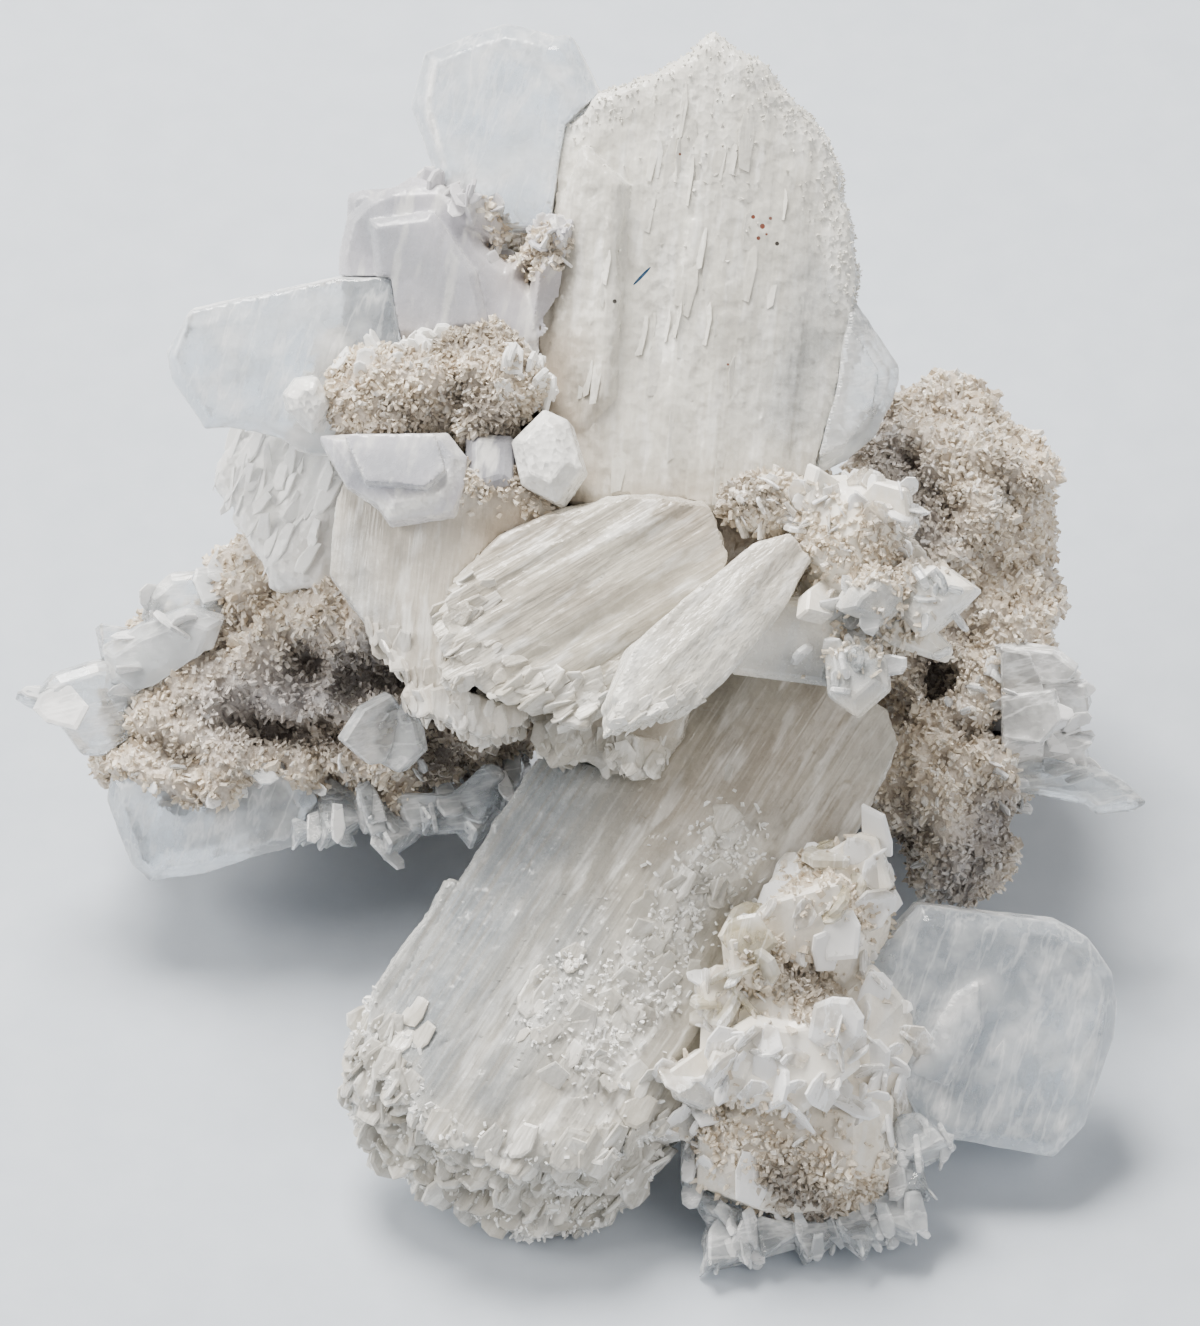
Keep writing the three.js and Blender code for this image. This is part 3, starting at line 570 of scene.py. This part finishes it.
lower_look = crystal("long_blade", LOWER_WAY, (0.3, 0.28, 0.24), (0.5, 0.47, 0.4), 0.9, 0.06, 0.42)
lilac_look = crystal("lilac_plate", (0.2, 1, 0), (0.43, 0.42, 0.47), (0.61, 0.6, 0.65), 0.15, 0.03)
white_look = crystal("white_sheaf", (0.3, 1, 0), (0.93, 0.93, 0.92), (0.99, 0.99, 0.98), 0.3, 0.12)
cream_look = crystal("cream_plate", (0.2, 1, 0), (0.84, 0.77, 0.65), (0.97, 0.94, 0.87), 0.15, 0.05)
grey_look = crystal("grey_plate", (0.2, 1, 0), (0.26, 0.26, 0.29), (0.42, 0.42, 0.46), 0.15, 0.03)
pointed_look = crystal("sugared_point", (0.2, 1, 0), (0.7, 0.69, 0.66), (0.93, 0.93, 0.91), 0.2, 0.5)
honey_look = glassy("honey_plate", (0.2, 1, 0), (0.84, 0.76, 0.54), milk=0.45)
petal_look = glassy("cream_petal", (0.2, 1, 0), (0.93, 0.87, 0.77), milk=0.75)
clear_look = glassy("clear_crystal", (0.3, 1, 0), (0.78, 0.84, 0.9), milk=0.4)
ledge_look = glassy("ledge_crystal", (1, 0.2, 0), (0.94, 0.94, 0.93), milk=0.8)
veiled_look = glassy("veiled_crystal", (1, 0.2, 0), (0.86, 0.9, 0.93), milk=0.42)
rock_look = druse_material("drusy_rock", (0.12, 0.1, 0.085), (0.52, 0.44, 0.35), (0.76, 0.67, 0.57), 0.35)
grain_look = druse_material("rock_grains", (0.24, 0.21, 0.18), (0.62, 0.52, 0.4), (0.91, 0.82, 0.68), 0.26)


def relief(mesh, along, lamella, terrace, grain, swell, seed):
    """Works lamellae, growth steps and grain into a surface, and gives how far each place is on a rim."""
    points = positions(mesh)
    out = normals(mesh)
    face = to_face(points)
    way = np.asarray(along, float) / np.linalg.norm(along)
    over = np.cross((0, 0, 1.0), way)
    over /= np.linalg.norm(over)
    local = np.stack((face @ way, face @ over, face @ np.cross(way, over)), 1)
    sway = 0.7 * noise(local / (16, 6, 6), seed)
    ridges = noise(np.stack((local[:, 0] / 11, local[:, 1] / 0.55 + sway, local[:, 2] / 0.55), 1), seed + 1)
    broad = noise(np.stack((local[:, 0] / 15, local[:, 1] / 1.4 + sway, local[:, 2] / 1.4), 1), seed + 2)
    steps = np.round(2.6 * noise(local / (8, 1.9, 2.4), seed + 3)) / 2.6
    rim = np.clip(1.15 - 1.3 * np.abs(out @ turned(np.cross(way, over))), 0, 1)
    height = lamella * (0.6 * ridges + 0.8 * broad) + terrace * steps
    height = height + grain * rough(face, 0.7, 2, seed + 4)
    height += swell + 2.2 * grain * rim * rough(face, 1.1, 2, seed + 5)
    move(mesh, points + out * (height * MM)[:, None])
    return face, rim


def blade(node, look, slot, along, voxel=0.25, lamella=0.12, terrace=0.12, grain=0.04, swell=0.18,
          seed=1, rim_frost=0.0, keep=0.4, swells=(), **marks):
    mesh = remeshed(node, voxel)
    if swells:
        start = positions(mesh)
        move(mesh, start + normals(mesh) * (field(to_face(start), swells) * MM)[:, None])
    face, rim = relief(mesh, along, lamella, terrace, grain, swell, seed)
    frost = np.maximum(field(face, marks.pop("frost", [])), rim_frost * rim)
    paint(mesh, "frost", frost * (0.75 + 0.4 * rough(face, 1.2, 2, seed + 6)))
    for name, strokes in marks.items():
        paint(mesh, name, field(face, strokes) * (0.9 + 0.3 * rough(face, 2.0, 2, seed + 7)))
    mesh = lightened(mesh, keep)
    crisp(mesh)
    dressed(linked(node + "_dressed", mesh, look), slot, node)
    return mesh


MILKY, CLEAR, CREAM, ROCK = "milky_crystal", "clear_crystal", "cream_crystal", "drusy_rock"
LILAC, SPARKLING = "lilac_crystal", "sparkling_crystal"
UPPER_RIM = [(-2.6, 40.4, 8.4, 47.4, 1.5, 0.9), (8.4, 47.4, 17, 39, 1.5, 0.9), (17, 39, 18.8, 27, 1.3, 0.9)]
RIDGE = [(9.7, -13.5, 3.4, -23, 2.2, 0.95), (3.4, -23, 0, -29, 2.2, 0.9),
         (-2.4, -22.6, -4.4, -27, 1.5, 0.5)]
LOWER_END = [(-17.6, -29, -14.6, -36, 2.4, 1), (-14.6, -36, -5, -40.4, 2.4, 1),
             (-5, -40.4, 2.4, -37, 2.4, 1)]
FAN_END = [(-10.6, 4, -9.8, -1.4, 1.8, 1), (-9.8, -1.4, -3.5, -2.8, 1.8, 1),
           (-3.5, -2.8, 1, -2.6, 1.4, 0.8)]

upper_frost = [(*stroke[:5], 0.6) for stroke in UPPER_RIM]
upper_frost += [(7, 45, 7, 38, 3.5, 0.4), (5, 30, 6, 24, 1.6, 0.3)]
# The shade strokes below are brownish stain with painted shade where a blade lies under another, turns away
# or meets the rock.
upper = blade("big_upper_blade", upper_look, SPARKLING, UPPER_WAY, 0.21, 0.1, 0.14, 0.08, seed=3,
              rim_frost=0.35, frost=upper_frost,
              shade=[(-3.6, 24, -1.6, 11, 3, 0.75), (0, 12, 16, 12, 2.4, 0.5), (-5, 34, -3, 24, 2.4, 0.35)],
              swells=[(-3.4, 15, -1.6, 12, 1.6, 1.0)], glass=[(14, 19, 17.4, 28, 3.2, 0.5)])
fan = blade("fan_blade", fan_look, MILKY, FAN_WAY, 0.16, 0.17, 0.14, 0.03, seed=5, rim_frost=0.25,
            frost=[(-10.2, 3, -9.6, -1.4, 1.6, 0.4), (-9.6, -1.4, 1, -2.7, 1.4, 0.4)],
            shade=[(6, 11, 9, 9, 2, 0.4), (-9, 8.6, -4, 11, 1.4, 0.3)])
narrow = blade("narrow_blade", narrow_look, MILKY, NARROW_WAY, 0.14, 0.11, 0.08, 0.03, seed=7,
               rim_frost=0.4, frost=[(3, 1, 1.4, -4, 1.2, 0.6)], shade=[(12.6, 7, 14.4, 9, 2, 0.3)])
upright = blade("centre_left_blade", left_look, MILKY, UPPER_WAY, 0.2, 0.07, 0.12, 0.03, seed=9,
                rim_frost=0.3,
                frost=[(-15.6, 0.4, -12.8, -3.2, 1.2, 0.2), (-12.8, -3.2, -7, -4.8, 1.2, 0.2)],
                shade=[(-6.4, 13, -8, 3, 2.8, 0.7), (-15, 13.4, -10, 13.6, 1.6, 0.4)],
                swells=[(-10, 13, -2, 12, 1.8, 1.6)], glass=[(-19, 9, -16.6, 2.4, 1.8, 0.4)])
under = blade("under_fan_blade", lower_look, MILKY, (0.4, 1, 0), 0.2, 0.1, 0.14, 0.05, seed=11,
              rim_frost=0.2, shade=[(-2, -3.4, 4, -4, 2.6, 0.4)], frost=[(-4, -6, 4, -7.8, 1.4, 0.2)])
lower = blade("lower_big_blade", lower_look, MILKY, LOWER_WAY, 0.23, 0.12, 0.2, 0.05, seed=13,
              rim_frost=0.5, frost=RIDGE + LOWER_END + [(-3.4, -36.4, -2, -35, 3, 0.5)],
              shade=[(16, -5, 7, -11, 4.6, 0.4), (19, -10, 14, -16, 2.4, 0.35)],
              glass=[(-4, -9, -15, -30, 4.6, 1.1), (-2, -20, -8, -32, 2.6, 0.6)])
sheaf = blade("left_white_sheaf", white_look, MILKY, (0.25, 1, 0), 0.2, 0.12, 0.14, 0.08, seed=15,
              frost=[(-27, 15, -25.6, 8, 3, 0.7)], shade=[(-22, 8, -20, 10, 2, 0.3)])
block = blade("left_block", lilac_look, LILAC, (0.1, 1, 0), 0.17, 0.02, 0.05, 0.01, 0.04, seed=21,
              rim_frost=0.3, keep=0.3,
              shade=[(-5.6, 29.6, -6.4, 31, 2.4, 0.6), (-16, 24, -9, 23.4, 2, 0.35)],
              glass=[(-18, 34, -12, 28, 3.6, 0.45)], frost=[(-12, 36, -6, 33, 1.2, 0.5)])
blade("shelf_plate", lilac_look, LILAC, (0.1, 1, 0), 0.13, 0.01, 0.02, 0.01, 0.1, seed=23, rim_frost=0.6,
      frost=[(-17.6, 12.2, -15.6, 11.4, 0.7, 0.9), (-15.6, 11.4, -12.4, 12.2, 0.8, 0.9),
             (-12.4, 12.2, -10.6, 14.6, 0.7, 0.8)], glass=[(-18, 14.6, -12, 15, 2, 0.5)])
blade("top_clear_crystal", clear_look, CLEAR, (0.25, 1, 0), 0.18, 0.015, 0.04, 0.01, keep=0.26, seed=31,
      rim_frost=0.75,
      frost=[(-6, 47.4, -1.6, 42, 0.7, 0.45), (-9, 46.8, -2.4, 44.4, 0.5, 0.45),
             (-11, 36, -3, 38, 1.6, 0.45), (-12.4, 45.4, -12.9, 41.8, 0.3, 0.8),
             (-12.9, 41.8, -11.6, 37.4, 0.3, 0.8)])
blade("upper_side_lobe", veiled_look, CLEAR, (-0.3, 1, 0), 0.16, 0.02, 0.06, 0.02, keep=0.26, seed=33,
      rim_frost=0.5, frost=[(18, 25, 18, 17, 2.2, 0.45), (21.6, 22, 21.6, 18.6, 0.8, 0.4)])
blade("left_clear_blade", clear_look, CLEAR, (1, 0.15, 0), 0.17, 0.03, 0.05, 0.015, keep=0.26, seed=35,
      rim_frost=0.75, frost=[(-28, 17.8, -20, 16.6, 1, 0.5), (-24, 26, -20, 27, 1.4, 0.3)])
blade("lower_right_clear_plate", clear_look, CLEAR, (1, 0.2, 0), 0.19, 0.02, 0.05, 0.015, keep=0.26,
      seed=37, rim_frost=0.7,
      frost=[(23, -31, 28.4, -24.4, 1.5, 0.75), (31.9, -23.3, 32.9, -25.6, 0.4, 0.5),
             (32.9, -25.6, 31.3, -27.4, 0.4, 0.5), (22, -34, 25, -35, 2, 0.4)])
blade("lower_left_prism", clear_look, CLEAR, (1, -0.1, 0), 0.2, 0.03, 0.06, 0.015, keep=0.26, seed=41,
      rim_frost=0.7, frost=[(-36, -9.6, -24, -9, 1, 0.4)])

# Groups of small crystals keep their flat faces.
# The shade strokes of the rosette and the cluster are painted shade in their pockets.
GROUP_MARKS = {
    "lower_right_rosette": {
        "shade": [(13.4, -22.4, 16.4, -25.6, 1.6, 0.6), (11, -36.4, 18, -40, 2.4, 0.7)],
        "glass": [(4, -33, 7, -34, 2, 0.6), (24, -25, 22, -26, 1.6, 0.4)]},
    "centre_right_cluster": {
        "glass": [(17, -1, 20, 0, 2.2, 0.9), (19, 4, 22, 5, 1.8, 0.8), (11, 2, 16, 0, 2.4, 0.4)],
        "frost": [(23, 6, 25.6, 4.4, 2, 0.8)],
        "shade": [(12, 12, 14, 11, 2, 0.4)]},
    "left_tip_crystals": {"frost": [(-36, 0, -30, 2, 1.8, 0.5)]}}
GROUP_GROWTH = {"grey_plate": 0.6, "pointed_white_crystal": 0.3}
groups = {}
for node, look, slot, ease in (
    ("grey_plate", grey_look, LILAC, 0.1),
    ("pointed_white_crystal", pointed_look, MILKY, 0.05),
    ("small_white_crystal", pointed_look, MILKY, 0.05),
    ("foot_crystals", veiled_look, CLEAR, 0.12),
    ("lower_left_points", veiled_look, CLEAR, 0.12),
    ("twin_plates", veiled_look, CLEAR, 0.08),
    ("left_tip_crystals", veiled_look, CLEAR, 0.12),
    ("right_ledge_plates", ledge_look, CLEAR, 0.08),
    ("spike_crystal", veiled_look, CLEAR, 0.1),
    ("lower_right_rosette", cream_look, CREAM, 0.12),
    ("centre_right_cluster", cream_look, CREAM, 0.1),
):
    groups[node] = eased(node, ease, GROUP_GROWTH.get(node, 0.15))
    for name, strokes in GROUP_MARKS.get(node, {}).items():
        paint(groups[node], name, field(to_face(positions(groups[node])), strokes))
    dressed(linked(node + "_dressed", groups[node], look), slot, node)


ROCK_KEPT = 0.42
ROCK_CREASE = 40
FOOT_MM = 2
# Where the rock swells forward between the crystals: strokes, with the height as their strength.
SWELLS = [(-9.4, 17.6, -5.8, 15.6, 1.8, 2.6), (-7.6, 14.4, -1.2, 12.6, 1.5, 5.0)]


def rock(node, voxel, ledges, lumps, grit, seed):
    """Craggy rock: ridged ledges and pits, then lumps, then grit."""
    mesh = remeshed(node, voxel)
    points = positions(mesh)
    face = to_face(points)
    crag = 1 - 2 * np.abs(rough(face, 5.2, 2, seed + 4))
    height = ledges * crag + lumps * rough(face, 2.4, 3, seed) + grit * rough(face, 0.8, 2, seed + 9)
    # The pits that take painted shade are sunk as well.
    height -= 1.6 * ledges * field(face, SHADED_PITS)
    height += field(face, SWELLS) * np.clip(normals(mesh) @ OUT, 0, 1)
    above_floor = np.clip(points[:, 2] / (FOOT_MM * MM), 0, 1)
    move(mesh, points + normals(mesh) * (height * above_floor * MM)[:, None])
    # Painted shade: darker in the pits and between the crags' ridges, over a random tone.
    paint(mesh, "pit_shade_and_tone", shaded_pits_and_tone(face) + 0.2 - 0.25 * crag)
    paint(mesh, "cool", field(face, COOL_SPOTS))
    paint(mesh, "tint", 0.35 + 0.3 * rough(face, 1.0, 2, seed + 3))
    mesh = lightened(mesh, ROCK_KEPT)
    crisp(mesh, ROCK_CREASE)
    dressed(linked(node + "_dressed", mesh, rock_look), ROCK, node)
    return mesh


matrix = rock("matrix_rock", 0.4, 1.15, 0.75, 0.3, 61)
knob = rock("druse_knob", 0.22, 0.35, 0.35, 0.2, 63)


# How likely a crystal is to grow, from its place and its outward direction on the display face.
RIGHT_FROM = 12
LEFT_TO = -4
DEEPEST_SHOWN = -26


def shown(middle, facing):
    return np.clip(facing[:, 2] + 0.35, 0, 1) * (middle[:, 2] > DEEPEST_SHOWN)


def right_side(middle, facing):
    return shown(middle, facing) * (middle[:, 0] > RIGHT_FROM)


def left_side(middle, facing):
    return shown(middle, facing) * (middle[:, 0] < LEFT_TO)


def hidden_side(middle, facing):
    return 1 - shown(middle, facing) * 0.9


def whole(middle, facing):
    return np.ones(len(middle))


def seen(middle, facing):
    return np.clip(facing[:, 2] + 0.2, 0, 1)


def seen_outside(marks):
    def keep(middle, facing):
        return seen(middle, facing) * np.clip(1 - 1.4 * field(middle, marks), 0, 1)
    return keep


# The druse of the rock.
scattered("right_druse", matrix, 9800, (0.35, 0.95), grain_look, ROCK, right_side, 71, tints=(0.58, 0.26))
scattered("left_druse", matrix, 9500, (0.35, 0.95), grain_look, ROCK, left_side, 72, tints=(0.42, 0.26))
scattered("back_druse", matrix, 4600, (0.6, 1.25), grain_look, ROCK, hidden_side, 73, aspect=(0.5, 0.85),
          thin=(0.45, 0.7), sink=0.4)
scattered("knob_druse", knob, 3800, (0.4, 0.95), grain_look, ROCK, whole, 74, tints=(0.42, 0.28))

# Broken lamellae at the blades' ends lie like shingles; the rims and the ridge carry a sugary crust.
down = (-0.54, -0.84, 0.1)
scattered("lower_end_scales", lower, 300, (1.4, 3.4), lower_look, MILKY, near(LOWER_END, 0.2), 81, 0.22,
          (0.6, 0.95), (0.12, 0.2), 0.6, True, down, 0.45)
scattered("ridge_crust", lower, 2800, (0.3, 0.75), white_look, MILKY, near(RIDGE + LOWER_END), 82,
          tints=(0.7, 0.2))
scattered("ridge_plates", lower, 90, (1.2, 3.2), lower_look, MILKY, near(RIDGE), 83, 0.35,
          (0.5, 0.8), (0.12, 0.2), 0.55, True, down, 0.5, (0.7, 0.2))
scattered("fan_scales", fan, 150, (1.0, 2.6), fan_look, MILKY, near(FAN_END, 0.1), 84, 0.2,
          (0.45, 0.8), (0.14, 0.24), 0.6, True, (-0.85, -0.53, 0.1), 0.5)
scattered("narrow_scales", narrow, 50, (0.9, 2.0), narrow_look, MILKY, near([(2.4, -3.8, 6.6, -3, 1, 1)]),
          85, 0.2, (0.4, 0.7), (0.16, 0.26), 0.6, True, (-0.7, -0.7, 0), 0.5)
scattered("upright_scales", upright, 90, (1.0, 2.4), left_look, MILKY,
          near([(-16, 1, -12.6, -3.4, 1.4, 1), (-12.6, -3.4, -7, -4.9, 1.4, 1)], 0.1), 86, 0.2,
          (0.45, 0.8), (0.14, 0.22), 0.6, True, (0.1, -1, 0.1), 0.5)
scattered("under_scales", under, 70, (1.0, 2.4), lower_look, MILKY,
          near([(-4.4, -5.6, 5, -7.6, 1.4, 1)], 0.1), 87, 0.25, (0.45, 0.8), (0.14, 0.22), 0.6, True,
          (0, -1, 0.1), 0.5)
scattered("upper_crust", upper, 1700, (0.18, 0.42), upper_look, SPARKLING,
          near(UPPER_RIM + [(6, 44, 9, 38, 5, 0.12)], -0.9), 88, tints=(0.3, 0.25))
scattered("upper_flakes", upper, 50, (1.6, 4.6), upper_look, SPARKLING, near([(4, 20, 8, 36, 5.5, 1)], 0.7),
          89, 0.03, (0.16, 0.32), (0.05, 0.08), 0.5, True, (0.12, 1, 0), 0.45, (0.25, 0.15))
scattered("sheaf_flakes", sheaf, 60, (1.4, 3.6), white_look, MILKY,
          near([(-27, 17, -24.6, 12, 3.6, 1)], 0.1), 90, 0.2, (0.2, 0.4), (0.16, 0.3), 0.6, True,
          (-0.4, -0.9, 0), 0.45)

# Tablets bristle from the rosette and the cluster, and their pockets hold druse.
rosette = groups["lower_right_rosette"]
cluster = groups["centre_right_cluster"]
foot = groups["foot_crystals"]
ROSETTE_POCKETS = [(12.8, -22.4, 17, -26, 1.8, 1), (10.4, -35.4, 20.6, -40.6, 2.6, 1),
                   (15, -15, 20, -19, 1.6, 0.6)]
CLUSTER_POCKETS = [(15.6, 9.6, 22, 7, 2.2, 1), (7, 13.6, 12.6, 11.8, 2.2, 1), (18, 1, 22, 2, 1.4, 0.7)]
scattered("rosette_tablets", rosette, 90, (1.8, 4.2), petal_look, CREAM, seen_outside(ROSETTE_POCKETS), 91,
          0.6, (0.7, 1.05), (0.1, 0.18), 0.6, True, (0.1, 0.9, 0.4), 0.3, (0.35, 0.3))
scattered("rosette_edges", rosette, 70, (1.2, 2.8), petal_look, CREAM, seen_outside(ROSETTE_POCKETS), 107,
          0.35, (0.6, 0.9), (0.14, 0.24), 0.55, True, tints=(0.35, 0.3))
scattered("honey_tablets", rosette, 22, (2.2, 4.2), honey_look, CREAM,
          near([(12, -15.8, 17, -17, 2, 1), (10.4, -19.4, 11.4, -22, 1.8, 1),
                (8.4, -23, 9.4, -25, 1.4, 0.8)]), 106, 0.35, (0.75, 1.0), (0.16, 0.26), 0.6, True,
          tints=(0.2, 0.2))
scattered("rosette_druse", rosette, 2400, (0.4, 1.1), grain_look, ROCK, near(ROSETTE_POCKETS), 92)
scattered("cluster_tablets", cluster, 70, (1.3, 3.0), petal_look, CREAM, near([(13, 12, 21, 12, 2.6, 1)]),
          93, 0.45, (0.5, 0.85), (0.1, 0.2), 0.55, True, tints=(0.35, 0.3))
scattered("cluster_clear", cluster, 40, (1.6, 3.2), veiled_look, CLEAR, near([(16, 0, 26, 4, 4, 1)]), 94,
          0.4, (0.5, 0.85), (0.14, 0.3), 0.5, True)
scattered("cluster_druse", cluster, 1800, (0.4, 1.0), grain_look, ROCK, near(CLUSTER_POCKETS), 95)
scattered("foot_tablets", foot, 60, (1.4, 3.2), veiled_look, CLEAR, seen, 96, 0.35, (0.3, 0.6), (0.2, 0.4),
          0.55, True, (0.15, -1, 0), 0.2)
scattered("tip_tablets", groups["left_tip_crystals"], 10, (2.4, 4.2), veiled_look, CLEAR, seen, 97, 0.4,
          (0.6, 0.9), (0.1, 0.18), 0.65, True, (-0.6, 0.4, 0.3), 0.45, (0.8, 0.3))
scattered("point_tablets", groups["lower_left_points"], 24, (1.6, 3.4), veiled_look, CLEAR, seen, 98, 0.35,
          (0.35, 0.7), (0.2, 0.35), 0.6, True, (0.1, -1, 0.1), 0.2)
scattered("ledge_tablets", groups["right_ledge_plates"], 40, (1.2, 2.8), ledge_look, CLEAR, whole, 99, 0.4,
          (0.4, 0.8), (0.12, 0.22), 0.6, True, (1, 0.1, 0), 0.3)
scattered("block_tablets", block, 80, (1.0, 2.6), lilac_look, LILAC, near([(-10, 36, -4, 32, 1.8, 1)]), 100,
          0.5, (0.4, 0.8), (0.15, 0.3), 0.5, True, tints=(0.6, 0.3))
scattered("block_druse", block, 700, (0.35, 0.9), grain_look, ROCK, near([(-7, 34, -4.6, 31, 1.5, 1)]), 101)
scattered("knob_tablets", knob, 60, (1.2, 3.0), white_look, MILKY,
          near([(-22, 24, -14, 24.6, 1.4, 1), (-6, 23, -3.6, 21, 1.4, 0.7)], -0.6), 102, 0.4, (0.4, 0.7),
          (0.15, 0.3), 0.5, True, (0.1, 1, 0.3), 0.2)
scattered("gap_druse", upright, 700, (0.4, 1.0), grain_look, ROCK,
          near([(-10, 13.6, -2, 12.6, 1.3, 1)], -0.6), 105)
scattered("inner_druse", matrix, 600, (0.5, 1.1), grain_look, ROCK,
          near([(-8, 14.6, -1, 12.4, 2, 1)], 0), 104)
scattered("matrix_tablets", matrix, 130, (1.2, 2.8), veiled_look, CLEAR,
          near([(-34, 4, -26, 6, 2, 1), (-34, -9, -8, -11, 2, 1), (29, -2, 31, -10, 2, 1),
                (20, -14, 24, -17, 2, 1)]), 103, 0.4, (0.45, 0.8), (0.12, 0.25), 0.5, True,
          tints=(0.7, 0.3))
bpy.context.view_layer.update()

# The floor, the light and the camera.
FLOOR_REACH = 1.6
FLOOR_GAP = 0.0001
AIM = (0, 0, 0.03)
floor_mesh = bpy.data.meshes.new("floor")
floor_corners = [(x * FLOOR_REACH, y * FLOOR_REACH, 0) for x, y in ((-1, -1), (1, -1), (1, 1), (-1, 1))]
floor_mesh.from_pydata(floor_corners, [], [(0, 1, 2, 3)])
cloth = Shader("pale_floor")
floor_color = cloth.ramp(cloth.noise(4, 4), (0.3, (0.50, 0.55, 0.62)), (0.7, (0.54, 0.59, 0.66)))
cloth.finish(floor_color, 0.7, cloth.bump(cloth.noise(0.8, 3), 0.05, 0.3))
floor = linked("floor", floor_mesh, cloth.material)
floor.location.z = -FLOOR_GAP

WARM_LIGHT = (1.0, 0.97, 0.92)


def area_light(name, place, power, size):
    lamp = bpy.data.lights.new(name, "AREA")
    lamp.energy = power
    lamp.size = size
    lamp.color = WARM_LIGHT
    holder = bpy.data.objects.new(name, lamp)
    holder.location = place
    holder.rotation_euler = (Vector(AIM) - Vector(place)).to_track_quat("-Z", "Y").to_euler()
    bpy.context.scene.collection.objects.link(holder)


area_light("key", (-0.14, 0.3, 0.6), 11.5, 0.28)
area_light("fill", (0.5, -0.35, 0.5), 2.2, 0.5)
area_light("left", (-0.5, 0.0, 0.35), 3.4, 0.3)
world = bpy.data.worlds.new("soft_room")
world.use_nodes = True
world.node_tree.nodes["Background"].inputs["Color"].default_value = (0.96, 0.94, 0.92, 1)
world.node_tree.nodes["Background"].inputs["Strength"].default_value = 0.4
bpy.context.scene.world = world

LENS = 250.0
SENSOR = 36.0
distance = LENS * PICTURE_MM / SENSOR
camera_data = bpy.data.cameras.new("camera")
camera_data.lens = LENS
camera_data.sensor_width = SENSOR
camera_data.clip_start = 0.01
camera_data.clip_end = 10
camera = bpy.data.objects.new("camera", camera_data)
place = to_world((0, 0, distance))[0]
turn = Matrix((ACROSS, UP, OUT)).transposed()
camera.matrix_world = Matrix.Translation(Vector(place)) @ turn.to_4x4()
bpy.context.scene.collection.objects.link(camera)
bpy.context.scene.camera = camera
